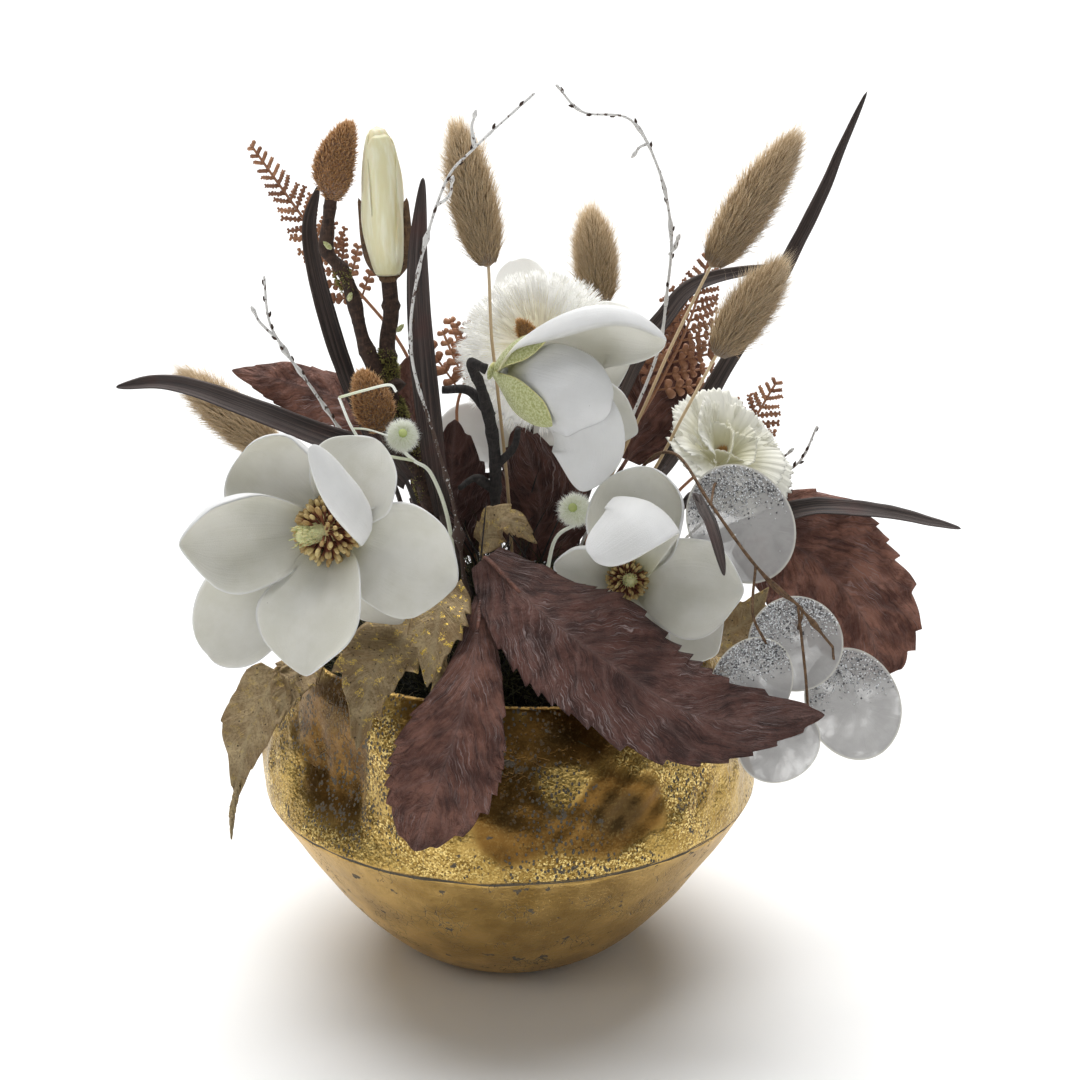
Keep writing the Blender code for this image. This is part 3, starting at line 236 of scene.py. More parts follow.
class Shape:
    """Triangles gathered as arrays, with two values a point: `mark` and `lie`.

    mark is (share along, share across, chance of the element). lie is (metres along, metres across, vein).
    Points are welded by the cell that they fall in: cells are WELD wide, and there are CELLS of them a way.
    """

    WELD = 5e-7
    CELLS = 2**21

    def __init__(self):
        self.points = []
        self.faces = []
        self.marks = []
        self.lies = []
        self.count = 0

    def add(self, points, faces, marks, lies=None):
        """Adds triangles that count their corners from the first of these points."""
        self.points.append(points)
        self.faces.append(faces + self.count)
        self.marks.append(marks)
        self.lies.append(np.zeros_like(points) if lies is None else lies)
        self.count += len(points)

    def grid(self, points, marks, lies=None, flip=False):
        """A surface from a grid of points; each cell is cut in two. It faces along columns x rows."""
        rows, columns = points.shape[:2]
        index = np.arange(rows * columns).reshape(rows, columns)
        a, b, c, d = index[:-1, :-1], index[:-1, 1:], index[1:, 1:], index[1:, :-1]
        faces = np.concatenate([np.stack([a, b, c], -1).reshape(-1, 3),
                                np.stack([a, c, d], -1).reshape(-1, 3)])
        marks = np.broadcast_to(marks, points.shape).reshape(-1, 3)
        if lies is not None:
            lies = np.broadcast_to(lies, points.shape).reshape(-1, 3)
        self.add(points.reshape(-1, 3), faces[:, ::-1] if flip else faces, marks, lies)

    def sheet(self, points, thickness, t, v, chance=0.5, front=0.0, back=0.0, size=(1.0, 1.0)):
        """A thin closed sheet: the grid moved both ways along its normals, thinning to nothing at its rim.

        front and back are the third lie of its two faces; the front looks along across x ahead.
        """
        normal = unit(np.cross(np.gradient(points, axis=1), np.gradient(points, axis=0)))
        rim = np.clip((1 - np.abs(v) ** 14) * (1 - np.abs(2 * t - 1) ** 30), 0, 1) ** 0.5
        half = normal * (thickness / 2 * rim)[..., None]
        marks = np.stack([t, v, np.full_like(t, chance)], -1)
        for offset, third in ((half, front), (-half, back)):
            lies = np.stack([t * size[0], v * size[1], third + 0 * t], -1)
            self.grid(points + offset, marks, lies, flip=offset is not half)

    def tube(self, centres, radii, sides=8, chance=0.5, along=None):
        """A closed tube: rings round the centres, square to the line, with flat ends drawn to a point.

        radii is one number a ring, or one for each corner of each ring.
        """
        centres = np.asarray(centres, float)
        ahead = unit(np.gradient(centres, axis=0))
        reference = np.eye(3)[np.abs(ahead).mean(0).argmin()]
        side = unit(np.cross(reference, ahead))
        up = np.cross(ahead, side)
        angle = np.linspace(0, TAU, sides + 1)[:, None]
        ring = np.cos(angle) * side[:, None] + np.sin(angle) * up[:, None]
        radii = np.asarray(radii, float)
        radii = radii[:, None, None] if radii.ndim == 1 else radii[..., None]
        body = centres[:, None] + ring * radii
        ends = [np.repeat(centres[k, None, None], sides + 1, 1) for k in (0, -1)]
        points = np.concatenate([ends[0], body, ends[1]])
        t = np.linspace(0, 1, len(centres)) if along is None else along
        t = np.concatenate([t[:1], t, t[-1:]])[:, None] * np.ones(sides + 1)
        spans = span_lengths(centres)
        run = np.concatenate([[0, 0], np.cumsum(spans), [spans.sum()]])[:, None] * np.ones(sides + 1)
        marks = np.stack([t, 0 * t, 0 * t + chance], -1)
        self.grid(points, marks, np.stack([run, 0 * t, 0 * t], -1))

    def ball(self, place, sides, rings, chance=0.5):
        """A closed round form; place(angle, t) gives its points, with t from one pole to the other."""
        t, angle = np.meshgrid(np.linspace(0, 1, rings), np.linspace(0, TAU, sides + 1), indexing="ij")
        self.grid(place(angle, t), np.stack([t, np.cos(angle), 0 * t + chance], -1))

    def spindles(self, roots, aims, lengths, girths, profile, bends=0.0, sides=3, look=None, flat=1.0,
                 chance=None):
        """Many like slim bodies at once, such as hairs, stamens and leaflets.

        Each runs from its root along its aim and bows by its bend with the square of the way. Its half
        thickness is its girth times the profile, a list of (share of the length, share of the girth).
        Seen along `look` it keeps its width, and `flat` thins it the other way.
        """
        count = len(roots)
        chance = np.random.default_rng(count).random(count) if chance is None else chance
        along, thick = np.array(profile, float).T
        lengths = np.broadcast_to(lengths, count)[:, None, None]
        girths = np.broadcast_to(girths, count)[:, None, None, None]
        bends = np.broadcast_to(bends, (count, 3))
        if look is None:
            side, up = round_ways(aims)
        else:
            side = unit(np.cross(aims, np.broadcast_to(look, (count, 3))))
            up = np.cross(aims, side)
        line = roots[:, None] + lengths * (aims[:, None] * along[:, None]
                                           + bends[:, None] * along[:, None] ** 2)
        angle = (np.arange(sides) * TAU / sides)[:, None]
        ring = np.cos(angle) * side[:, None] + np.sin(angle) * up[:, None] * flat
        points = line[:, :, None] + ring[:, None] * (girths * thick[:, None, None])
        rings = len(along)
        first = np.arange(sides)
        after = (first + 1) % sides
        template = []
        for k in range(rings - 1):
            low, high = k * sides, (k + 1) * sides
            template.append(np.stack([low + first, low + after, high + after], -1))
            template.append(np.stack([low + first, high + after, high + first], -1))
        fan = np.arange(1, sides - 1)
        template.append(np.stack([0 * fan, fan + 1, fan], -1))
        faces = np.concatenate(template)
        faces = (faces[None] + (np.arange(count) * rings * sides)[:, None, None]).reshape(-1, 3)
        shares = np.broadcast_to(along[:, None], (count, rings, sides))
        marks = np.stack([shares, 0 * shares, np.broadcast_to(chance[:, None, None], shares.shape)], -1)
        self.add(points.reshape(-1, 3), faces, marks.reshape(-1, 3))

    def mesh(self, name):
        """The mesh: points in one place are welded, and faces without an area are dropped.

        Of faces on the same three points only the first stays, so each run gives the same mesh.
        """
        points = np.concatenate(self.points)
        cells = np.round(points / self.WELD).astype(np.int64) + self.CELLS // 2
        key = (cells[:, 0] * self.CELLS + cells[:, 1]) * self.CELLS + cells[:, 2]
        _, first, again = np.unique(key, return_index=True, return_inverse=True)
        faces = again[np.concatenate(self.faces)]
        whole = (faces[:, 0] != faces[:, 1]) & (faces[:, 1] != faces[:, 2]) & (faces[:, 2] != faces[:, 0])
        faces = faces[whole]
        low, middle, high = np.sort(faces, axis=1).T
        _, once = np.unique((low * len(first) + middle) * len(first) + high, return_index=True)
        faces = faces[np.sort(once)]
        mesh = bpy.data.meshes.new(name)
        mesh.vertices.add(len(first))
        mesh.vertices.foreach_set("co", points[first].astype(np.float32).ravel())
        mesh.loops.add(faces.size)
        mesh.loops.foreach_set("vertex_index", faces.astype(np.int32).ravel())
        mesh.polygons.add(len(faces))
        mesh.polygons.foreach_set("loop_start", np.arange(0, faces.size, 3, dtype=np.int32))
        mesh.update(calc_edges=True)
        mesh.validate()
        mesh.shade_smooth()
        for label, values in (("mark", self.marks), ("lie", self.lies)):
            attribute = mesh.attributes.new(label, "FLOAT_VECTOR", "POINT")
            attribute.data.foreach_set("vector", np.concatenate(values)[first].astype(np.float32).ravel())
        return mesh


# Spindles' profiles: (share of the length, share of the girth)
POINT = ((0, 1.0), (1.0, 0.0))
HAIR = ((0, 1.0), (0.5, 0.75), (1.0, 0.0))
FUZZ = ((0, 1.0), (0.5, 0.8), (1.0, 0.0))
CRUMB = ((0, 1), (0.6, 0.8), (1, 0))
BARB = ((0, 1.0), (0.4, 1.0), (0.8, 0.8), (1.0, 0.0))
THREAD = ((0, 1.0), (0.33, 0.9), (0.66, 0.7), (1.0, 0.0))
WIRE = (*((share, 1 - 0.5 * share) for share in np.linspace(0, 0.92, 12)), (1.0, 0.0))
ANTHER = ((0, 0.6), (0.45, 0.55), (0.62, 0.95), (0.80, 1.15), (0.95, 0.8), (1.0, 0.0))
STIGMA = ((0, 1.0), (0.4, 0.8), (0.8, 0.7), (1.0, 0.0))
SHOOT = ((0, 0.5), (0.3, 1), (0.7, 0.7), (1, 0))
CATKIN = ((0, 0.7), (0.4, 1), (0.8, 0.6), (1, 0))
BUD_SCALE = ((0, 0.6), (0.35, 1), (0.75, 0.6), (1, 0))
SIDE_RIB = ((0, 0.8), (0.5, 0.9), (0.86, 1.0), (1, 0.4))
LOBE = ((0, 0.65), (0.4, 0.85), (0.75, 1.0), (0.95, 0.55), (1.0, 0.0))


def placed(name, data):
    """A new object in the scene, from its data."""
    made = bpy.data.objects.new(name, data)
    bpy.context.scene.collection.objects.link(made)
    return made


def piece(name, shape, finish, slot, *nodes):
    """Makes the shape a piece that rides on the arrangement and stands for the nodes named."""
    made = placed(name, shape.mesh(name))
    made.data.materials.append(finish)
    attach(made, "root")
    if nodes:
        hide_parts(*nodes)
    return made


def finer(node, shape, finish, slot):
    """Makes the shape the finer form of a node."""
    return piece("fine_" + node, shape, finish, slot, node)


# Materials


class Amount:
    """A value that varies over a surface. Arithmetic on it adds Math nodes."""

    def __init__(self, finish, socket):
        self.finish = finish
        self.socket = socket

    def __add__(self, other):
        return self.finish.maths("ADD", self, other)

    __radd__ = __add__

    def __sub__(self, other):
        return self.finish.maths("SUBTRACT", self, other)

    def __rsub__(self, other):
        return self.finish.maths("SUBTRACT", other, self)

    def __mul__(self, other):
        return self.finish.maths("MULTIPLY", self, other)

    __rmul__ = __mul__

    def __pow__(self, other):
        return self.finish.maths("POWER", self, other)

    def __abs__(self):
        return self.finish.maths("ABSOLUTE", self, 0.0)

    def fade(self, low, high):
        """Zero at low and one at high, with a smooth step between; low may be the larger."""
        sockets = {"Value": self, "From Min": low, "From Max": high}
        return self.finish.node("ShaderNodeMapRange", {"interpolation_type": "SMOOTHSTEP"}, sockets)


class Finish:
    """A Principled material, and short calls for the nodes that vary it."""

    def __init__(self, name, **constants):
        self.material = bpy.data.materials.new(name)
        self.material.use_nodes = True
        self.nodes = self.material.node_tree.nodes
        self.links = self.material.node_tree.links
        self.shader = self.nodes["Principled BSDF"]
        self.set(**constants)
        self.place = self.node("ShaderNodeTexCoord", out="Object")
        self.body = None

    def set(self, **sockets):
        """Sets or links the shader's sockets; an underscore stands for a space."""
        for label, value in sockets.items():
            self.feed(self.shader.inputs[label.replace("_", " ")], value)
        return self.material

    def feed(self, socket, value):
        """Links an amount to the socket, or sets a plain value or colour."""
        if isinstance(value, Amount):
            self.links.new(value.socket, socket)
        elif socket.type == "RGBA":
            socket.default_value = (*value[:3], 1.0)
        else:
            socket.default_value = value

    def node(self, kind, settings=None, sockets=None, out=0):
        """Any node: its settings are made first, then its sockets are set or linked."""
        made = self.nodes.new(kind)
        for label, value in (settings or {}).items():
            setattr(made, label, value)
        for label, value in (sockets or {}).items():
            self.feed(made.inputs[label], value)
        return Amount(self, made.outputs[out])

    def maths(self, operation, first, second):
        """A Math node's result."""
        return self.node("ShaderNodeMath", {"operation": operation}, {0: first, 1: second})

    def mix(self, share, first, second):
        """A colour between two, by a share."""
        return self.node("ShaderNodeMix", {"data_type": "RGBA"}, {0: share, 6: first, 7: second}, out=2)

    def lay(self, share, over, under=None):
        """Lays a colour over the body colour by a share; the first time, also over the colour given."""
        self.body = self.mix(share, self.body if under is None else under, over)

    def done(self, **sockets):
        """The material, with its body colour and whatever else varies."""
        return self.set(Base_Color=self.body, **sockets)

    def stretched(self, where, scales):
        """Coordinates with their own scale each way."""
        return self.node("ShaderNodeVectorMath", {"operation": "MULTIPLY"}, {0: where, 1: scales})

    def noise(self, scale, detail=3.0, where=None, rough=0.55, warp=0.0):
        """Soft noise, mostly 0.3 to 0.7; scale is its waves a metre."""
        sockets = {"Vector": where or self.place, "Scale": scale, "Detail": detail, "Roughness": rough,
                   "Distortion": warp}
        return self.node("ShaderNodeTexNoise", {}, sockets)

    def cells(self, scale, feature="F1", where=None, out="Distance"):
        """Chance cells, `scale` a metre: how far the nearest middle or edge is, or a cell's colour."""
        sockets = {"Vector": where or self.place, "Scale": scale}
        return self.node("ShaderNodeTexVoronoi", {"feature": feature}, sockets, out=out)

    def distance(self, centre):
        """How far a point is from a place, both in metres."""
        return self.node("ShaderNodeVectorMath", {"operation": "DISTANCE"}, {0: self.place, 1: centre},
                         out="Value")

    def attribute(self, label):
        """The three parts of a point's own value."""
        vector = self.node("ShaderNodeAttribute", {"attribute_name": label}, out="Vector")
        split = self.node("ShaderNodeSeparateXYZ", {}, {0: vector}).socket.node
        return [Amount(self, socket) for socket in split.outputs]

    def streaks(self, detail, scales, where=None, rough=0.55, warp=0.0):
        """Noise with its own scale each way, of the metres along and across a piece, or of `where`."""
        if where is None:
            where = self.node("ShaderNodeAttribute", {"attribute_name": "lie"}, out="Vector")
        return self.noise(1.0, detail, self.stretched(where, scales), rough, warp)

    def bump(self, height, distance, strength=1.0, below=None):
        """A normal from a height; the distance is in metres, and `below` is a coarser bump under it."""
        sockets = {"Height": height, "Distance": distance, "Strength": strength}
        if below is not None:
            sockets["Normal"] = below
        return self.node("ShaderNodeBump", {}, sockets)


def petal_finish():
    """Matt foam petals, ivory inside and whiter outside, yellow-green at the root, with lines and specks; the
    inside is also painted darker than the outside as painted shade.
    """
    finish = Finish("white_petal", Roughness=0.55, Sheen_Weight=0.10, Subsurface_Weight=0.30,
                    Subsurface_Scale=0.006, Subsurface_Radius=(1.0, 0.95, 0.85))
    along, _, _ = finish.attribute("mark")
    _, _, inside = finish.attribute("lie")
    cloudy = finish.noise(60, 4)
    outer = finish.mix(cloudy.fade(0.35, 0.7), (0.69, 0.69, 0.68), (0.75, 0.75, 0.745))
    # Painted shade: the inner face's ivory is also painted darker than the outer face.
    inner = finish.mix(cloudy.fade(0.35, 0.7), (0.61, 0.60, 0.525), (0.69, 0.68, 0.62))
    finish.lay(inside, inner, under=outer)
    finish.lay(along.fade(0.34, 0.02), (0.56, 0.54, 0.30))
    speck = finish.cells(260).fade(0.055, 0.035) * finish.noise(90, 1).fade(0.58, 0.66)
    finish.lay(speck * 0.7, (0.22, 0.20, 0.17))
    lines = finish.streaks(4, (40, 900, 1))
    normal = finish.bump(lines, 0.0006, 0.35)
    normal = finish.bump(finish.noise(2600, 2), 0.0002, 0.45, normal)
    return finish.done(Roughness=0.50 + 0.12 * cloudy, Normal=normal)


def stamen_finish():
    """Maroon filaments with cream-yellow anthers, each a little different."""
    finish = Finish("stamen", Roughness=0.6)
    along, _, chance = finish.attribute("mark")
    thread = finish.mix(chance, (0.12, 0.030, 0.018), (0.22, 0.070, 0.032))
    anther = finish.mix(chance, (0.66, 0.53, 0.24), (0.36, 0.22, 0.075))
    grain = finish.noise(1500, 3)
    finish.lay(along.fade(0.58, 0.76), anther, under=thread)
    finish.lay(grain.fade(0.5, 0.8) * 0.5, (0.30, 0.15, 0.06))
    return finish.done(Normal=finish.bump(grain, 0.0003, 0.5))


def pistil_finish():
    """Pale yellow-green knobbly pistils."""
    finish = Finish("pistil", Roughness=0.6, Subsurface_Weight=0.1, Subsurface_Scale=0.002)
    grain = finish.noise(900, 3)
    finish.lay(grain, (0.74, 0.72, 0.42), under=(0.52, 0.52, 0.22))
    return finish.done(Normal=finish.bump(finish.cells(1100), 0.0005, 0.7))


def sepal_finish():
    """Yellow-green felted sepals with a grainy pale bloom and a yellow rolled edge."""
    finish = Finish("sepal", Roughness=0.8, Sheen_Weight=0.3)
    _, across, _ = finish.attribute("mark")
    grain = finish.noise(1300, 4)
    finish.lay(grain.fade(0.35, 0.65), (0.60, 0.62, 0.34), under=(0.36, 0.38, 0.13))
    finish.lay(abs(across).fade(0.80, 0.98) * 0.8, (0.72, 0.68, 0.30))
    return finish.done(Normal=finish.bump(grain, 0.0006, 0.8))


def glowing_feather_finish(name, root, tip, centre=None):
    """White threads, yellower near their root, or near the centre if one is given in millimetres. They glow
    faintly in their own colour as painted light, and some are painted darker as painted shade.
    """
    # Painted light: the threads glow faintly in their own colour, standing in for light that passes through
    # them.
    finish = Finish(name, Roughness=0.7, Sheen_Weight=0.2, Emission_Strength=0.16)
    away, _, chance = finish.attribute("mark")
    if centre is not None:
        away = finish.distance([value * MM for value in centre]).fade(0.009, 0.027)
    finish.lay(away, tip, under=root)
    # Painted shade: some threads, by chance, are painted darker, as shade among the threads.
    finish.lay(chance.fade(0.50, 1.0) * 0.50, (0.60, 0.58, 0.47))
    lines = finish.streaks(3, (60, 3000, 1))
    return finish.done(Emission_Color=finish.body, Normal=finish.bump(lines, 0.0004, 0.5))


def fur_finish(name, deep, mid, pale):
    """Fine hair that is deep in colour at the root and pale at its tip, and uneven from hair to hair."""
    finish = Finish(name, Roughness=0.75, Sheen_Weight=0.3)
    along, _, chance = finish.attribute("mark")
    patchy = finish.noise(180, 3)
    finish.lay(along.fade(0.0, 0.5), mid, under=deep)
    finish.lay(along.fade(0.4, 1.0) * (0.35 + 0.65 * chance), pale)
    finish.lay(patchy.fade(0.55, 0.8) * 0.3, deep)
    return finish.done()


def bark_finish(name, deep, mid, pale):
    """Rough bark: lengthwise cracks, warts and ring scars."""
    finish = Finish(name, Roughness=0.85)
    run, _, _ = finish.attribute("lie")
    coarse = finish.noise(420, 6, rough=0.65)
    fine = finish.noise(1800, 4)
    cracks = finish.streaks(5, (1500, 1500, 260), finish.place)
    ring = finish.maths("SINE", run * (TAU / RING_GAP) + 22 * finish.noise(90, 2), 0.0)
    height = coarse * 0.6 + cracks * 0.5 + fine * 0.2 + ring.fade(0.6, 1.0) * 0.10
    finish.lay(height.fade(0.45, 0.85), mid, under=deep)
    finish.lay(coarse.fade(0.60, 0.78) * 0.6, pale)
    return finish.done(Normal=finish.bump(height, 0.0009, 0.9))


def cream_bud_finish():
    """Silky pale yellow petals that wrap a bud, with soft lengthwise folds."""
    finish = Finish("cream_bud", Roughness=0.45, Sheen_Weight=0.2, Subsurface_Weight=0.1,
                    Subsurface_Scale=0.004)
    along, _, _ = finish.attribute("mark")
    folds = finish.streaks(4, (420, 420, 45), finish.place)
    finish.lay(folds.fade(0.35, 0.7), (0.95, 0.89, 0.67), under=(0.84, 0.75, 0.46))
    finish.lay(along.fade(0.22, 0.0) * 0.5, (0.56, 0.50, 0.23))
    return finish.done(Normal=finish.bump(folds, 0.0010, 0.5))


def blade_finish():
    """Dark brown-grey strap leaf with dense lengthwise grain, dry and a little dusty."""
    finish = Finish("dark_blade", Roughness=0.62)
    grain = finish.streaks(6, (28, 2600, 1), rough=0.65)
    broad = finish.streaks(3, (14, 700, 1))
    finish.lay(grain.fade(0.40, 0.68), (0.105, 0.072, 0.062), under=(0.022, 0.016, 0.015))
    finish.lay(broad.fade(0.48, 0.75) * 0.6, (0.16, 0.125, 0.115))
    finish.lay(finish.noise(45, 3).fade(0.55, 0.8) * 0.5, (0.10, 0.035, 0.028))
    return finish.done(Roughness=0.45 + 0.35 * grain, Normal=finish.bump(grain, 0.0007, 0.8))


def burgundy_finish():
    """Dried burgundy leaf: wrinkled red and purple brown, with patches of pale fibres along its veins; the
    wrinkles' troughs are painted dark as painted shade.
    """
    finish = Finish("burgundy_leaf", Roughness=0.6, Specular_IOR_Level=0.28)
    _, _, tint = finish.attribute("mark")
    run, over, vein = finish.attribute("lie")
    wavy = (finish.noise(50, 3) - 0.5) * 0.012 + (finish.noise(260, 2) - 0.5) * 0.0022
    line = 0.50 * run - 0.86 * abs(over) + wavy
    reach_on = 0.86 * run + 0.50 * abs(over)
    side = over.fade(-0.0002, 0.0002) * 4

    def strands(across_scale, along_scale, detail):
        """Noise drawn out along the side veins, with its own scale across and along them."""
        where = {0: line * across_scale, 1: reach_on * along_scale, 2: tint * 9 + side}
        return finish.noise(1.0, detail, finish.node("ShaderNodeCombineXYZ", {}, where), rough=0.68,
                            warp=0.35)

    wrinkle = strands(480, 55, 4)
    fibre = strands(2100, 80, 6)
    fine = strands(4600, 150, 3)
    mottle = finish.noise(95, 5)
    rugose = finish.noise(190, 4, rough=0.6)
    deep = finish.mix(tint, (0.034, 0.014, 0.012), (0.098, 0.036, 0.024))
    mid = finish.mix(tint, (0.105, 0.044, 0.035), (0.330, 0.150, 0.104))
    # The wrinkle noise also helps paint the troughs deeper here, as painted shade.
    finish.lay((mottle * 0.62 + wrinkle * 0.38).fade(0.38, 0.62), mid, under=deep)
    finish.lay(fine.fade(0.52, 0.70) * 0.45, (0.240, 0.140, 0.122))
    worn = finish.noise(42, 4, rough=0.6).fade(0.44, 0.60)
    finish.lay(fibre.fade(0.50, 0.68) * (0.10 + 0.75 * worn), (0.390, 0.305, 0.295))
    # Painted shade: the wrinkles' troughs are painted near black.
    finish.lay(wrinkle.fade(0.42, 0.30) * 0.35, (0.022, 0.010, 0.009))
    finish.lay(vein * 0.35, (0.26, 0.16, 0.14))
    normal = finish.bump(rugose + 0.6 * mottle, 0.0026, 0.85)
    normal = finish.bump(wrinkle, 0.0016, 0.9, normal)
    normal = finish.bump(fibre * 0.7 + fine * 0.4, 0.0007, 0.8, normal)
    return finish.done(Roughness=0.50 + 0.3 * fibre, Normal=normal)


def gilded_finish():
    """Dried leaf with champagne paint, flecks of gold foil, dark pinholes and pale veins."""
    finish = Finish("gilded_leaf", Roughness=0.5, Specular_IOR_Level=0.35)
    run, over, vein = finish.attribute("lie")
    _, across, tint = finish.attribute("mark")
    mottle = finish.noise(120, 5)
    grain = finish.noise(1100, 4)
    slanted = finish.node("ShaderNodeCombineXYZ", {},
                          {0: (run - 0.9 * abs(over)) * 1900, 1: abs(over) * 120, 2: tint})
    fibre = finish.noise(1.0, 5, slanted, rough=0.6, warp=0.3)
    finish.lay(mottle.fade(0.35, 0.7), (0.470, 0.360, 0.200), under=(0.270, 0.188, 0.096))
    finish.lay(grain.fade(0.54, 0.42) * 0.45, (0.150, 0.100, 0.050))
    finish.lay(fibre.fade(0.54, 0.66) * 0.5, (0.560, 0.450, 0.280))
    finish.lay(finish.noise(55, 4).fade(0.50, 0.70) * 0.55, (0.240, 0.140, 0.058))
    finish.lay(abs(across).fade(0.84, 1.0) * 0.5, (0.260, 0.165, 0.075))
    foil = finish.noise(330, 4).fade(0.56, 0.60) * finish.noise(1700, 2).fade(0.44, 0.54)
    foil = foil * (0.15 + 0.85 * tint)
    finish.lay(foil, (0.78, 0.56, 0.13))
    hole = finish.cells(420).fade(0.16, 0.10) * finish.noise(110, 2).fade(0.44, 0.54)
    finish.lay(hole, (0.045, 0.026, 0.015))
    finish.lay(vein * 0.4, (0.45, 0.37, 0.22))
    height = grain * 0.4 + fibre * 0.5 - hole * 0.8
    return finish.done(Metallic=(0.35 + 0.65 * foil) * (1 - hole), Roughness=0.55 - 0.30 * foil,
                       Normal=finish.bump(height, 0.0009, 0.9))


def white_twig_finish():
    """Whitewash on a dark twig, worn off in specks; near the middle of the arrangement the twigs are made
    nearly all dark.
    """
    finish = Finish("white_twig", Roughness=0.75)
    # Near the middle of the arrangement the twigs are made nearly all dark.
    near = finish.distance((-0.010, -0.030, 0.190)).fade(0.058, 0.040)
    patches = finish.noise(420, 4, rough=0.7)
    specks = finish.streaks(3, (1500, 1500, 700), finish.place, rough=0.6)
    worn = (patches * 0.6 + specks * 0.4 + 0.16 * near).fade(0.550, 0.590)
    finish.lay(worn, (0.100, 0.062, 0.048), under=(0.74, 0.73, 0.71))
    return finish.done(Normal=finish.bump(patches + specks, 0.0006, 0.8))


def fern_finish():
    """Copper-brown fern, some leaflets paler, with a slight metal sheen."""
    finish = Finish("copper_fern", Roughness=0.5, Sheen_Weight=0.1)
    _, _, chance = finish.attribute("mark")
    grain = finish.noise(1200, 3)
    finish.lay(chance, (0.470, 0.225, 0.115), under=(0.230, 0.088, 0.040))
    finish.lay(grain.fade(0.5, 0.75) * 0.5, (0.55, 0.32, 0.19))
    finish.lay(finish.noise(55, 2).fade(0.5, 0.7) * 0.4, (0.13, 0.055, 0.032))
    return finish.done(Metallic=0.15 * grain, Normal=finish.bump(grain, 0.0004, 0.7))


def disc_finish():
    """Translucent grey seed disc: faint veins and clouds, a paler edge and a little silver sheen."""
    finish = Finish("honesty_disc", Roughness=0.42, Coat_Weight=0.2, Coat_Roughness=0.3)
    along, _, _ = finish.attribute("mark")
    cloudy = finish.noise(110, 5)
    veins = finish.streaks(4, (60, 1200, 1), warp=0.4)
    finish.lay(cloudy.fade(0.35, 0.7), (0.605, 0.592, 0.580), under=(0.430, 0.417, 0.408))
    finish.lay(veins.fade(0.6, 0.75) * 0.35, (0.72, 0.70, 0.68))
    finish.lay(along.fade(0.955, 0.985), (0.64, 0.62, 0.56))
    clear = 0.74 + 0.18 * along.fade(0.94, 0.98) - 0.28 * cloudy.fade(0.45, 0.70)
    height = veins * 0.5 + cloudy * 0.5
    return finish.done(Alpha=clear, Metallic=0.15 * cloudy, Normal=finish.bump(height, 0.0005, 0.6))


def glitter_finish():
    """Flakes of silver glitter; a few of them are painted near black as painted shade."""
    finish = Finish("glitter", Roughness=0.3)
    _, _, chance = finish.attribute("mark")
    shine = finish.noise(2500, 2)
    silver = finish.mix(shine, (0.62, 0.63, 0.65), (0.97, 0.98, 0.99))
    # Painted shade: about a fifth of the glitter is painted near black, as facets turned to shade.
    finish.lay(chance.fade(0.20, 0.24), silver, under=(0.07, 0.07, 0.075))
    finish.lay(chance.fade(0.80, 0.83), (0.34, 0.35, 0.37))
    return finish.done(Metallic=0.45 * chance.fade(0.20, 0.24))


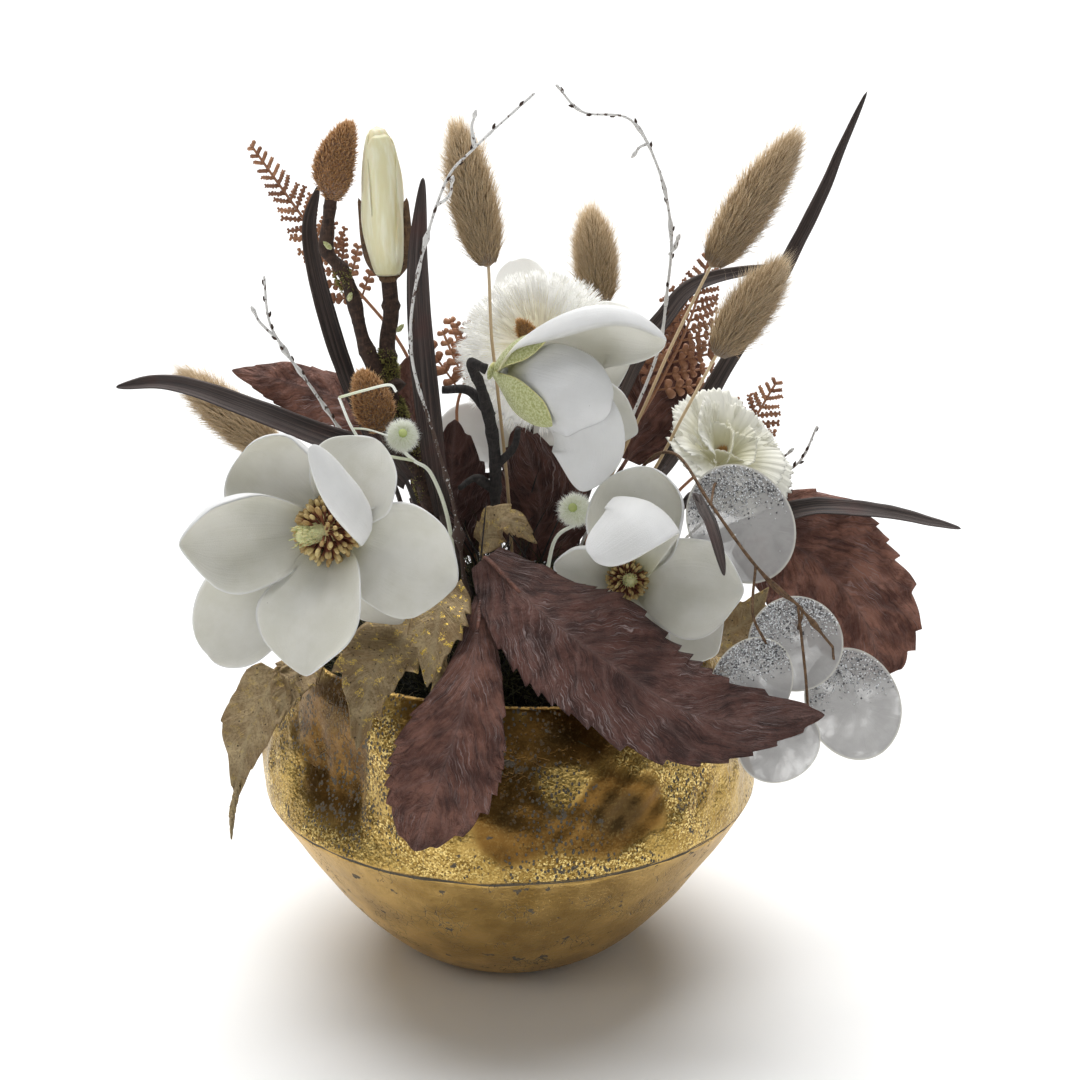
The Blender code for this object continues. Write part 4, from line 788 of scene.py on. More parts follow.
def gold_finish():
    """Gold leaf on a beaten bowl.

    The upper half is finely creased foil, painted dark amber brown in the dents, in upright clouds and in
    listed patches as painted dark reflection and shade, with painted glints and dark facets and a few painted
    highlights;
    it has crowds of small dark grey pits, and is painted brightest above the seam. The lower half is satin,
    painted darker towards the base as a painted reflection of the shaded floor, with hairline cracks and grey
    freckles. A dark seam, double in places, runs round the belly.
    """
    finish = Finish("gold", Metallic=1.0)
    # The third mark holds the listed patches of painted shade, and of painted highlights where it is below
    # zero.
    dent, share, painted_shade_and_highlight = finish.attribute("mark")
    upper = share.fade(0.985, 1.04)
    upright = finish.stretched(finish.place, (1, 1, 0.42))
    broad = finish.noise(24, 3, upright)
    mottle = finish.noise(85, 5)
    fine = finish.noise(800, 4, rough=0.6)
    bright = finish.mix(mottle.fade(0.35, 0.7), (0.34, 0.215, 0.055), (0.54, 0.365, 0.112))
    amber = finish.mix(mottle.fade(0.30, 0.7), (0.085, 0.042, 0.011), (0.200, 0.105, 0.027))
    # Painted dark reflection and shade: amber brown in upright clouds, in the dents and in the listed
    # patches, and less of it above the seam, which is painted lit.
    shade = broad.fade(0.42, 0.60) * 0.45 + dent.fade(0.10, 0.60) * 0.35 + painted_shade_and_highlight
    lit = share.fade(1.30, 1.06) * 0.35
    shade = (shade - lit - finish.noise(60, 3).fade(0.52, 0.72) * 0.30).fade(0.05, 0.85)
    top = finish.mix(shade, bright, amber)
    # Painted shade: the deepest of the listed patches is painted darker still.
    top = finish.mix(painted_shade_and_highlight.fade(0.85, 1.5) * 0.8, top, (0.060, 0.038, 0.016))
    # Painted glints: chance cells of the foil are painted bright gold, and others dark as painted dark
    # reflection, mostly where no painted shade lies.
    glint_and_dark_facet = finish.node("ShaderNodeSeparateXYZ", {}, {0: finish.cells(1700, out="Color")})
    calm = shade.fade(0.80, 0.25)
    glint_share = (0.25 + 0.75 * finish.noise(48, 3).fade(0.40, 0.60)) * (0.08 + 0.95 * calm)
    top = finish.mix(glint_and_dark_facet.fade(0.60, 0.95) * glint_share * 0.8, top, (0.95, 0.74, 0.30))
    top = finish.mix(glint_and_dark_facet.fade(0.40, 0.05) * glint_share * 0.8, top, (0.110, 0.058, 0.016))
    satin = finish.mix(mottle.fade(0.3, 0.7), (0.46, 0.290, 0.084), (0.67, 0.450, 0.162))
    # Painted reflection: the satin is painted darker towards the base, where it would mirror the shaded
    # floor; it is also darker in broad upright clouds.
    satin = finish.mix(broad.fade(0.45, 0.65) * 0.3 + share.fade(0.30, 0.0) * 0.15, satin,
                       (0.270, 0.160, 0.050))
    finish.lay(upper, top, under=satin)
    crowd = finish.noise(26, 3, upright).fade(0.40, 0.60)
    pits = (0.06 + 0.30 * crowd
            - finish.cells(620, where=finish.stretched(finish.place, (1, 1, 0.72)))).fade(0.0, 0.05)
    pits = pits * crowd * (0.3 + 0.7 * upper) * (1 - 0.5 * painted_shade_and_highlight.fade(0.3, 0.9))
    edges = finish.cells(330, "DISTANCE_TO_EDGE", finish.stretched(finish.place, (1, 1, 0.6)))
    cracks = edges.fade(0.045, 0.0) * finish.noise(60, 3).fade(0.48, 0.60) * (1 - 0.45 * upper)
    wear = finish.noise(150, 4, rough=0.6).fade(0.64, 0.68)
    smudge = finish.noise(46, 5, rough=0.65).fade(0.63, 0.69) * (0.35 + 0.65 * fine.fade(0.4, 0.6))
    level = share - 1.0 + (finish.noise(60, 2) - 0.5) * 0.020
    seam = abs(level).fade(0.009, 0.003) * finish.noise(75, 2).fade(0.22, 0.36)
    second = abs(level - 0.011 - 0.02 * (finish.noise(35, 2) - 0.5)).fade(0.0040, 0.001)
    seam = seam + second * finish.noise(48, 2).fade(0.45, 0.55)
    grey = finish.mix(fine, (0.056, 0.044, 0.030), (0.145, 0.122, 0.090))
    bare = (pits + wear * 0.75 + smudge * 0.6 + seam + cracks * 0.8).fade(0.15, 0.85)
    finish.lay(bare, grey)
    crinkle = finish.noise(520, 3, rough=0.5)
    foil = finish.cells(760)
    relief = crinkle * (0.35 + upper * (0.70 * calm - 0.20)) + foil * 0.25 * upper * calm + mottle * 0.4
    normal = finish.bump(relief - pits * 0.5 - seam * 0.4 - cracks * 0.3, 0.0011, 0.65)
    normal = finish.bump(fine, 0.00022, 0.6, normal)
    rough = 0.32 - 0.08 * upper + 0.16 * mottle + 0.42 * bare
    return finish.done(Metallic=1.0 - 0.80 * bare, Roughness=rough, Normal=normal)


def moss_finish():
    """Black-green dried moss with olive and pale straw threads."""
    finish = Finish("moss", Roughness=0.95)
    _, _, chance = finish.attribute("mark")
    patch_noise = finish.noise(160, 4)
    finish.lay(patch_noise.fade(0.4, 0.65), (0.045, 0.045, 0.018), under=(0.012, 0.011, 0.008))
    finish.lay(chance.fade(0.55, 0.75), (0.075, 0.075, 0.028))
    finish.lay(chance.fade(0.93, 0.96), (0.30, 0.26, 0.17))
    return finish.done(Normal=finish.bump(finish.noise(900, 4), 0.0012, 1.0))


def foam_finish():
    """Dark florist's foam, dusted with moss crumbs."""
    finish = Finish("foam", Roughness=0.95)
    crumbs = finish.noise(500, 5, rough=0.7)
    finish.lay(crumbs.fade(0.4, 0.7), (0.055, 0.052, 0.022), under=(0.010, 0.010, 0.007))
    return finish.done(Normal=finish.bump(crumbs, 0.002, 1.0))


def olive_moss_finish():
    """Olive moss on the bark."""
    finish = Finish("olive_moss", Roughness=0.9)
    _, _, chance = finish.attribute("mark")
    finish.lay(chance, (0.36, 0.33, 0.10), under=(0.12, 0.115, 0.03))
    return finish.done()


# Stems


def foam_top(x, y):
    """Height of the foam's domed top."""
    share = (x * x + y * y) / FOAM_SHOULDER_RADIUS**2
    return FOAM_CROWN - (FOAM_CROWN - FOAM_SHOULDER_HEIGHT) * share


def foot(node):
    """The middle of a stem's end in its foam hole: the mean of the node's points at the hole's depth."""
    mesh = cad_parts[node].data
    points = np.empty(len(mesh.vertices) * 3, np.float32)
    mesh.vertices.foreach_get("co", points)
    points = points.reshape(-1, 3).astype(float)
    depth = foam_top(points[:, 0], points[:, 1]) - points[:, 2]
    inside = (np.hypot(points[:, 0], points[:, 1]) < FOOT_REACH) & (np.abs(depth - HOLE_DEPTH) < FOOT_SLACK)
    return points[inside].mean(0)


def planted(node, points):
    """A route in metres that stands in the node's foam hole, then runs through the points in millimetres."""
    low = foot(node)
    top = foam_top(low[0], low[1])
    return np.vstack([low, [low[0], low[1], top + 0.002], metres(points)])


def limb(shape, route, start, end, sides, steps, knots, gap, seed):
    """A tapering tube along a route in metres; `knots` swells it at chance places about `gap` apart."""
    t = np.linspace(0, 1, (len(route) - 1) * steps + 1)
    centres = route_point(route, t)
    radii = (start + (end - start) * t) * (1 + knots * np.maximum(drift(centres, gap, seed), 0) ** 2)
    shape.tube(centres, radii, sides)


def stalk(shape, node, points, radius, end_share=0.6, sides=8, steps=7, knots=0.0, seed=1):
    """A tapering stem from its foam hole through the points."""
    route = planted(node, points)
    limb(shape, route, radius, radius * end_share, sides, steps, knots, 0.012, seed)
    return route


def twig(shape, points, start, end, sides=7, steps=6, knots=0.0, seed=1):
    """A tapering side twig through points in millimetres."""
    limb(shape, metres(points), start, end, sides, steps, knots, 0.010, seed)


def knotty_stalk(shape, node, points, radius, end_share, scar=0.0042):
    """A branch from its foam hole, with a lumpy skin and a ring scar every `scar` metres."""
    route = planted(node, points)
    t = np.linspace(0, 1, (len(route) - 1) * 16 + 1)
    centres = route_point(route, t)
    run = np.concatenate([[0], np.cumsum(span_lengths(centres))])
    corner = np.linspace(0, TAU, BRANCH_SIDES + 1)[None, :]
    rings = np.maximum(np.sin(TAU * run / scar + 5 * drift(centres, 0.03, 3)), 0) ** 6
    lumps = drift(centres, 0.009, 3)[:, None] + 0.6 * np.sin(2 * corner + 300 * run[:, None])
    radii = radius * (1 + (end_share - 1) * t)[:, None] * (1 + 0.08 * rings[:, None] + 0.11 * lumps)
    shape.tube(centres, radii, BRANCH_SIDES)


# Magnolias


FRONT_LEFT = Spot((-60, -66, 196), (-0.30, -0.91, 0.27))
TOP_BLOOM = Spot((-1, -40, 246), (0.93, -0.26, -0.24))
RIGHT_BLOOM = Spot((43, -52, 172), (0.10, -0.93, 0.30))
REAR_BLOOM = Spot((6, 52, 186), (-0.10, 0.86, 0.50))
FEATHER_LEFT = Spot((11.5, 11, 242), (-0.40, -0.50, 0.77))
FEATHER_RIGHT = Spot((80, 0, 199), (0.25, -0.42, 0.87))


def reach(spot, tip, half_width, curl, cup):
    """A petal's shape from its tip, in millimetres. Curl is how far it bends outwards, in degrees."""
    x, y, z = spot.local(metres(tip))
    radial = math.hypot(x, y)
    middle = math.atan2(radial, z)
    half = math.radians(curl) / 2
    length = math.hypot(radial, z) * half / math.sin(half)
    return math.atan2(y, x), length, half_width, middle - half, middle + half, math.radians(cup)


def whorl(angles, length, half_width, opening, closing, cup):
    """Petals alike but for their place round the axis, in degrees."""
    lean, tip, bend = math.radians(opening), math.radians(closing), math.radians(cup)
    return [(math.radians(angle), length, half_width, lean, tip, bend) for angle in angles]


def petal_section(t, v, half_width, cup, seed, folds=(0, 0, 0), wave=0.05, blunt=0.0, root=0.03):
    """How far a petal's skin goes across and lifts to its hollow side, at t along it and v across.

    Across, it is an arc of half angle `cup`. The width swells to a tip, pinched to a point unless `blunt`.
    The rims ripple. `folds` roll the rims at v = -1 and 1 and the tip over the hollow side, or back if
    below zero; a crease runs down the middle, and the whole swings a little.
    """
    rng = np.random.default_rng(seed)
    phase = rng.uniform(0, TAU, 4)
    near_tip = np.clip((t - 0.80) / 0.20, 0, 1)
    wide = half_width * swell(t, root, 1.5, 0.66 - 0.26 * blunt) * (1 - 0.30 * (1 - blunt) * near_tip**1.5)
    wide = wide * (1 + 0.03 * np.sin(TAU * 1.9 * t + phase[3] + 2 * np.sign(v)) * np.abs(v) ** 4)
    calm = np.minimum(wide / half_width * 2, 1)
    ripple = wave * np.abs(v) ** 3 * np.sin(TAU * 1.6 * t + phase[0] + 1.3 * np.sign(v)) * calm
    fold = np.where(v < 0, folds[0], folds[1]) * bump_at(t, 0.66, 0.36)
    over = np.clip((np.abs(v) - 0.62) / 0.38, 0, 1) ** 1.6
    tip_over = folds[2] * np.clip((t - 0.74) / 0.26, 0, 1) ** 1.6
    crease = -0.02 * bump_at(v, 0.05 * math.sin(phase[1]), 0.10) * (1 - t)
    swing = 0.05 * np.sin(TAU * 0.8 * t + phase[2]) * t
    lift = wide * (1 - np.cos(v * cup)) / cup + half_width * (ripple + crease + swing + fold * over * calm
                                                              + tip_over)
    across = wide * np.sin(v * cup) / cup * (1 - 1.15 * np.abs(fold) * over)
    return across, lift, rng.random()


def petal(shape, spot, form, seed, **looks):
    """One petal whose spine is an arc in a plane through the flower's axis, hollow towards the axis."""
    turn, length, half_width, opening, closing, cup = form
    s, v = patch(PETAL_ROWS, PETAL_COLUMNS)
    t = 1 - (1 - s) ** 1.5
    sweep = closing - opening
    sweep = sweep if abs(sweep) > LEAST_SWEEP else LEAST_SWEEP
    lean = opening + sweep * t
    across, lift, chance = petal_section(t, v, half_width, cup, seed, **looks)
    out = length * (math.cos(opening) - np.cos(lean)) / sweep + 0.001 - lift * np.cos(lean)
    up = length * (np.sin(lean) - math.sin(opening)) / sweep + lift * np.sin(lean)
    points = spot.world(grown(out, across, up, turn))
    points = points + spot.way(np.array([0, 0, 1.0])) * (drift(points, 0.05, seed) * 0.0007 * t)[..., None]
    shape.sheet(points, PETAL_THICKNESS, t, v, chance, 0.0, 1.0, (length, half_width))


def draped_petal(shape, points, half_width, facing, cup, seed, rows=PETAL_ROWS, columns=PETAL_COLUMNS,
                 **looks):
    """One petal whose spine runs through points in millimetres, hollow towards `facing`."""
    route = metres(points)
    ways = unit(facing)
    s, v = patch(rows, columns)
    t = 1 - (1 - s) ** 1.5
    ahead = route_direction(route, t)
    side = unit(np.cross(ahead, ways[0] + (ways[-1] - ways[0]) * t[..., None]))
    up = np.cross(side, ahead)
    across, lift, chance = petal_section(t, v, half_width, math.radians(cup), seed, **looks)
    length = span_lengths(route).sum()
    skin = route_point(route, t) + side * across[..., None] + up * lift[..., None]
    shape.sheet(skin, PETAL_THICKNESS, t, v, chance, 1.0, 0.0, (length, half_width))


def receptacle(shape, spot, radius, low, high):
    """The small round core that petals grow from."""

    def place(angle, t):
        """A point of a ball that is stretched from low to high."""
        wide = radius * np.sin(math.pi * t)
        return spot.world(around(wide, angle, low + (high - low) * t))

    shape.ball(place, 24, 12)


def bloom(name, spot, petals, finish, seed, draped=()):
    """A magnolia's petals on their core: (form, finer looks) of each, and the draped ones' routes."""
    shape = Shape()
    receptacle(shape, spot, 0.0046, -RECEPTACLE, RECEPTACLE)
    for k, (form, looks) in enumerate(petals):
        petal(shape, spot, form, seed * 20 + k, **looks)
    for k, (points, half_width, facing, cup, looks) in enumerate(draped):
        draped_petal(shape, points, half_width, facing, cup, seed * 20 + 10 + k, **looks)
    finer(name, shape, finish, "petal")


def stamens(name, spot, size, count, column, stamen, pistil, seed):
    """The heart of an open magnolia: clubs on a golden spiral over a dome, and a leaning column of pistils.

    size is the dome's radius. column is the way the pistils lean.
    """
    rng = np.random.default_rng(seed)
    angle, share = spiral(count)
    place = np.radians(14 + 84 * share**0.8)
    tilt = place + np.radians(34 + rng.uniform(-14, 14, count))
    heart = np.array([0, 0, 0.40 * size + RECEPTACLE])
    flat = around(1.0, angle, 0 * angle)
    up = np.array([0, 0, 1.0])
    root_way, club_way = (flat * np.sin(a)[:, None] + up * np.cos(a)[:, None] for a in (place, tilt))
    roots = spot.world(heart + root_way * size * 0.46)
    wander = unit(club_way + rng.normal(0, 0.16, (count, 3)))
    lengths = size * rng.uniform(0.46, 0.60, count)
    shape = Shape()
    shape.spindles(roots, spot.way(wander), lengths, size * 0.060, ANTHER, spot.way(np.array([0, 0, 0.16])),
                   sides=6)

    def core(angle, t):
        """A point of the dome that the stamens root in."""
        wide = size * 0.52 * np.sin(math.pi * t) ** 0.8
        return spot.world(around(wide, angle, RECEPTACLE + 0.95 * size * t))

    shape.ball(core, 16, 10, 0.0)
    finer(name, shape, stamen, "stamen")

    lean = unit(column)
    start = spot.world(heart + np.array([0, 0, size * 0.15]))
    t = np.linspace(0, 1, 18)
    centres = start + t[:, None] * lean * size * 1.02
    corner = np.linspace(0, TAU, 17)[None, :]
    knobbly = 1 + 0.13 * np.sin(5 * corner + 9 * t[:, None]) * np.sin(13 * t[:, None])
    radii = size * 0.27 * (swell(t, 0.25, 1.0, 0.35)[:, None] + 0.02) * knobbly
    heads = Shape()
    heads.tube(centres, radii, 16)
    side, up = round_ways(lean)
    angle, share = spiral(PISTILS)
    ring = rays(angle, side, up)
    spots = start + (0.35 + 0.62 * share)[:, None] * lean * size + ring * size * 0.22
    aims = unit(ring + 0.35 * lean)
    curl = -0.6 * ring + 0.9 * lean
    heads.spindles(spots, aims, size * 0.20, size * 0.035, STIGMA, curl, sides=5)
    piece("fine_" + name.replace("stamens", "pistils"), heads, pistil, "stamen")


def build_magnolias(finishes):
    """The four magnolias, with the top one's sepals and black twig."""
    front = [
        (reach(FRONT_LEFT, (-113, -86, 197), 0.0225, -24, 44), dict(folds=(0.30, -0.05, 0.05))),
        (reach(FRONT_LEFT, (-92, -58, 223), 0.0235, -14, 40), dict(folds=(0.20, 0.12, 0.26), blunt=1.0)),
        (reach(FRONT_LEFT, (-46, -68, 229), 0.0210, 34, 40), dict(folds=(-0.05, -0.12, -0.1), blunt=0.3)),
        (reach(FRONT_LEFT, (-18, -88, 184), 0.0235, 34, 32), dict(folds=(-0.12, -0.06, 0), blunt=0.2)),
        (reach(FRONT_LEFT, (-69, -104, 156), 0.0225, 20, 34), dict(folds=(-0.05, 0.06, 0))),
        (reach(FRONT_LEFT, (-106, -82, 155), 0.0212, 12, 34), dict(folds=(-0.04, 0.1, 0), blunt=0.9)),
        (reach(FRONT_LEFT, (-39, -62, 159), 0.0135, 10, 20), dict()),
    ]
    front_draped = [
        ([(-60, -66, 196), (-48, -77, 199), (-49, -91, 210), (-56, -99, 223), (-65, -100, 237)], 0.0088,
         [(-0.63, -0.53, 0.57), (-0.45, 0.75, -0.45)], 36, dict(blunt=0.6, root=0.10)),
    ]
    bloom("magnolia_front_left_petals", FRONT_LEFT, front, finishes["petal"], 1, front_draped)
    top = [
        (reach(TOP_BLOOM, (48, -30, 222), 0.0180, -30, 40), dict(folds=(-0.16, -0.16, 0))),
        (reach(TOP_BLOOM, (46, -10, 243), 0.0180, -10, 40), dict()),
    ]
    top_draped = [
        ([(-1, -40, 246), (13, -42, 258), (34, -47, 267), (57, -50, 262)], 0.0180,
         [(0.1, -0.75, -0.65), (0.0, -0.92, -0.40)], 48,
         dict(folds=(0.36, 0.05, 0.1), blunt=0.6, root=0.12)),
        ([(-1, -40, 246), (9, -54, 246), (22, -64, 245), (37, -66, 242)], 0.0186,
         [(0.0, 1.0, -0.1)], 54, dict(folds=(0, 0, 0), blunt=0.9, root=0.16)),
        ([(-1, -40, 246), (13, -53, 244), (24, -60, 236), (29, -64, 225), (27, -66, 210)], 0.0175,
         [(0.1, 0.9, 0.2)], 46, dict(folds=(-0.05, -0.10, 0), blunt=0.3, root=0.06)),
    ]
    bloom("magnolia_top_petals", TOP_BLOOM, top, finishes["petal"], 2, top_draped)
    right = [
        (reach(RIGHT_BLOOM, (50, -54, 215), 0.0225, 18, 44), dict(folds=(0.30, -0.05, 0.1), blunt=0.6)),
        (reach(RIGHT_BLOOM, (18, -60, 180), 0.0130, 20, 30), dict(folds=(0.3, 0.3, 0))),
        (reach(RIGHT_BLOOM, (84, -70, 174), 0.0225, 20, 42), dict(folds=(-0.08, -0.12, 0))),
        (reach(RIGHT_BLOOM, (76, -62, 147), 0.0165, 20, 30), dict()),
        (reach(RIGHT_BLOOM, (44, -80, 144), 0.0160, 20, 30), dict()),
    ]
    right_draped = [
        ([(43, -52, 172), (48, -60, 190), (51, -73, 207), (44, -89, 207), (29, -94, 196)], 0.0155,
         [(-0.4, -0.75, -0.22), (-0.1, 0.55, -0.8)], 40, dict(folds=(-0.06, -0.04, 0), blunt=1.0, root=0.10)),
    ]
    bloom("magnolia_right_petals", RIGHT_BLOOM, right, finishes["petal"], 3, right_draped)
    rear = [(form, dict()) for form in whorl((20, 140, 260), 0.044, 0.018, 42, 70, 40)]
    rear += [(form, dict()) for form in whorl((80, 200, 320), 0.042, 0.018, 66, 96, 34)]
    bloom("magnolia_rear_petals", REAR_BLOOM, rear, finishes["petal"], 4)

    hearts = (
        ("magnolia_front_left_stamens", FRONT_LEFT, 0.0128, 170, (-0.75, -0.66, 0.02)),
        ("magnolia_right_stamens", RIGHT_BLOOM, 0.0085, 110, (0.1, -0.9, 0.3)),
        ("magnolia_rear_stamens", REAR_BLOOM, 0.0090, 110, (-0.1, 0.9, 0.5)),
    )
    for k, (name, spot, size, count, column) in enumerate(hearts):
        stamens(name, spot, size, count, column, finishes["stamen"], finishes["pistil"], k)

    sepals = Shape()
    receptacle(sepals, TOP_BLOOM, 0.0034, -0.0064, -RECEPTACLE - 0.0004)
    under = (-5.6, -38.7, 247)
    for k, (route, facing) in enumerate((
        ([under, (2, -45, 256), (15, -50, 263)], [(0.4, 0.6, -0.7)]),
        ([under, (3, -54, 241), (16.5, -63, 233.5)], [(0.35, 0.9, 0.25)]),
    )):
        draped_petal(sepals, route, 0.0060 + 0.0022 * k, facing, 40, 90 + k, folds=(-0.1, -0.1, 0), rows=36,
                     columns=21)
    finer("magnolia_top_sepals", sepals, finishes["sepal"], "sepal")

    bark = Shape()
    end, low = TOP_BLOOM.above(-0.0068) / MM, TOP_BLOOM.above(-0.0128) / MM
    knotty_stalk(bark, "magnolia_top_twig", [(-5, -20, 178), (-5, -23, 212), (-9, -28, 236), low, end],
                 0.0025, 0.72)
    for points, start, finish_radius in (
        (((-6, -24, 226), (-14, -25, 236), (-24, -27, 237)), 0.0021, 0.0015),
        (((-5, -21, 196), (-12, -24, 202), (-18, -30, 200)), 0.0018, 0.0010),
        (((-5, -22, 206), (2, -25, 214), (4, -26, 222)), 0.0018, 0.0010),
    ):
        twig(bark, points, start, finish_radius, sides=10, steps=10, knots=0.35, seed=4)
    finer("magnolia_top_twig", bark, finishes["black_bark"], "black_bark")


# Feather flowers


def fringe(shape, spot, strips, barbs, length, spread, low_lean, high_lean, seed, open_to, first):
    """Feathers that fan out from a core: each a bundle of barbs that leave its line one after another.

    Strips stand on a golden spiral, from lying flat to standing up, and lie down more on the side of
    `open_to`. A barb starts along the strip, from the share `first` on, and leans a little off it, and all
    end near the strip's end, so the tips look frayed.
    """
    rng = np.random.default_rng(seed)
    angle, share = spiral(strips)
    fall = around(1.0, angle, 0 * angle) @ (np.array(open_to) @ spot.turn)
    lean = np.radians(low_lean + (high_lean - low_lean) * share + 26 * fall + rng.uniform(-5, 5, strips))
    ray = around(np.sin(lean), angle, np.cos(lean))
    reach_out = length * rng.uniform(0.86, 1.0, strips) * (1 - 0.13 * share)
    aims = np.repeat(ray, barbs, 0)
    total = np.repeat(reach_out, barbs)
    start = rng.uniform(first, 0.82, strips * barbs)
    off = rng.normal(0, 1, (strips * barbs, 3))
    off = unit(off - (off * aims).sum(-1, keepdims=True) * aims)
    ways = unit(aims + off * rng.uniform(0.02, spread, (strips * barbs, 1)))
    roots = aims * (0.002 + start * total)[:, None] + off * 0.0008
    lengths = total * (1 - start) * rng.uniform(0.86, 1.05, strips * barbs)
    sag = rng.normal(0, 0.05, (strips * barbs, 3))
    shape.spindles(spot.world(roots), spot.way(ways), lengths, BARB_GIRTH, BARB, spot.way(sag))


def fan_petal(shape, spot, turn, lean, length, spread, seed):
    """A pleated fan: rays spread by `spread` degrees from the root to a ragged outer edge."""
    rng = np.random.default_rng(seed)
    t, v = patch(FAN_ROWS, FAN_COLUMNS)
    ray = np.radians(spread) * v
    ragged = 1 + 0.020 * drift(np.stack([v * 0.9, 0 * v, 0 * v], -1), 0.10, seed) - 0.10 * np.abs(v) ** 4
    ragged = ragged + 0.010 * np.sin(61 * v + seed) + 0.010 * np.sin(97 * v)
    far = length * t * np.where(t > 0.55, 1 + (ragged - 1) * (t - 0.55) / 0.45, 1.0)
    bend = np.radians(lean) + 0.50 * t
    pleat = (0.00025 * np.sin(31 * v + rng.uniform(0, TAU)) + 0.00016 * np.sin(83 * v)) * t
    out = far * np.sin(bend) * np.cos(ray) + 0.002
    across = far * np.sin(ray)
    up = far * np.cos(bend) + pleat + 0.0016 * np.sin(4 * v + seed) * t * t
    points = spot.world(grown(out, across, up, turn))
    shape.sheet(points, FAN_THICKNESS, t, v, 0.3 * rng.random(), size=(length, length * math.radians(spread)))


def ring_of_fans(shape, spot, leans, length, spread, open_to, seed):
    """Fans at even turns round the core, one for each lean, that lie down more on the side of `open_to`."""
    side = np.array(open_to) @ spot.turn
    for k, lean in enumerate(leans):
        turn = TAU * k / len(leans)
        fall = math.cos(turn) * side[0] + math.sin(turn) * side[1]
        fan_petal(shape, spot, turn, lean + 22 * fall, length * (1 - 0.06 * (k % 2)), spread, seed + k)


def build_feather_flowers(finishes):
    """Two pincushion flowers: the left one frayed all over, the right one pleated fans with frayed edges."""
    left = Shape()
    receptacle(left, FEATHER_LEFT, 0.0060, -RECEPTACLE, RECEPTACLE)
    open_left = (-0.72, -0.35, -0.60)
    dome = Spot((11.5, 11, 242), (0.02, -0.52, 0.84))
    ring_of_fans(left, dome, (60, 54, 58, 52, 62, 55, 60, 53, 57), 0.0290, 32, open_left, 90)
    ring_of_fans(left, dome, (42, 38, 44, 40, 37, 43, 39), 0.0260, 32, open_left, 110)
    fringe(left, dome, 120, 26, 0.0325, 0.15, 92, 46, 5, open_left, first=0.35)
    petal(left, FEATHER_LEFT, reach(FEATHER_LEFT, (2, 31, 273.5), 0.0125, -40, 30), 71, blunt=1.0)
    petal(left, FEATHER_LEFT, reach(FEATHER_LEFT, (47, 20, 256), 0.0120, -20, 30), 72, blunt=0.6)
    finer("feather_left_petals", left, finishes["feather_left"], "feather")
    frayed = Shape()
    fringe(frayed, dome, 150, 30, 0.0335, 0.22, 98, 42, 7, open_left, first=0.60)
    piece("feather_left_fringe", frayed, finishes["feather_left"], "feather")
    right = Shape()
    receptacle(right, FEATHER_RIGHT, 0.0060, -RECEPTACLE, RECEPTACLE)
    open_right = (0.90, -0.30, -0.25)
    ring_of_fans(right, FEATHER_RIGHT, (36, 41, 37, 42, 34, 39), 0.0280, 44, open_right, 120)
    ring_of_fans(right, FEATHER_RIGHT, (19, 24, 20, 22), 0.0245, 46, open_right, 140)
    ring_of_fans(right, FEATHER_RIGHT, (-14, -8, -18, -10), 0.0175, 50, open_right, 150)
    fringe(right, FEATHER_RIGHT, 40, 30, 0.0280, 0.16, 74, 44, 6, open_right, first=0.7)
    finer("feather_right_petals", right, finishes["feather_right"], "feather")
    for name, spot, size, wide in (
        ("feather_left_cone", FEATHER_LEFT, 0.0150, 0.0033),
        ("feather_right_cone", FEATHER_RIGHT, 0.0060, 0.0020),
    ):
        cone = Shape()
        start, end = spot.above(RECEPTACLE + 0.0004) / MM, spot.above(RECEPTACLE + size) / MM
        furry_head(cone, start, end, wide, CONE_HAIRS, 0.0023, 0.00015, (0.22, 0.95, 0.7), 9, 48, 0.55)
        finer(name, cone, finishes["cone"], "cone")


# Round heads with hair


def head_surface(base, tip, radius, form, bow=(0, 0, 0), furl=0.0, neck=0.0):
    """place(angle, t) on a bud or seed head: a swell round the line from base to tip, which may bow.

    neck is the share of the width that the swell loses at its base.
    """
    start = metres(base)
    end = metres(tip)
    side, up = round_ways(unit(end - start))
    sway = metres(bow)

    def place(angle, t):
        """A point at an angle round the line and a share t of the way along it."""
        wide = radius * swell(t, *form) * (t > 0) * (t < 1) * (1 + furl * np.cos(3 * angle + 5 * t))
        wide = wide * (1 - neck * bump_at(t, 0, 0.15))
        line = start + (end - start) * t[..., None] + sway * np.sin(math.pi * t)[..., None]
        return line + wide[..., None] * rays(angle, side, up)

    return place, unit(end - start), side, up


def furry_head(shape, base, tip, radius, count, length, thick, form, seed, rise, stray, body=0.86,
               bow=(0, 0, 0), neck=0.0):
    """A round head with a coat of hair. Hairs root on a golden spiral and lean `rise` degrees to the tip."""
    place, axis, side, up = head_surface(base, tip, radius * body, form, bow, neck=neck)
    shape.ball(place, 20, 24, 0.2)
    rng = np.random.default_rng(seed)
    angle, share = spiral(count)
    t = 0.03 + 0.955 * share
    roots = place(angle, t)
    ray = rays(angle, side, up)
    steep = np.radians(rise + (88 - rise) * np.clip((share - 0.7) / 0.3, 0, 1) ** 1.5)
    aims = ray * np.cos(steep)[:, None] + axis * np.sin(steep)[:, None]
    aims = unit(aims + rng.normal(0, stray, (count, 3)) * np.cos(steep)[:, None])
    lengths = length * rng.uniform(0.65, 1.1, count)
    bends = rng.normal(0, 0.14, (count, 3)) + axis * 0.10
    shape.spindles(roots, aims, lengths, thick, HAIR, bends)


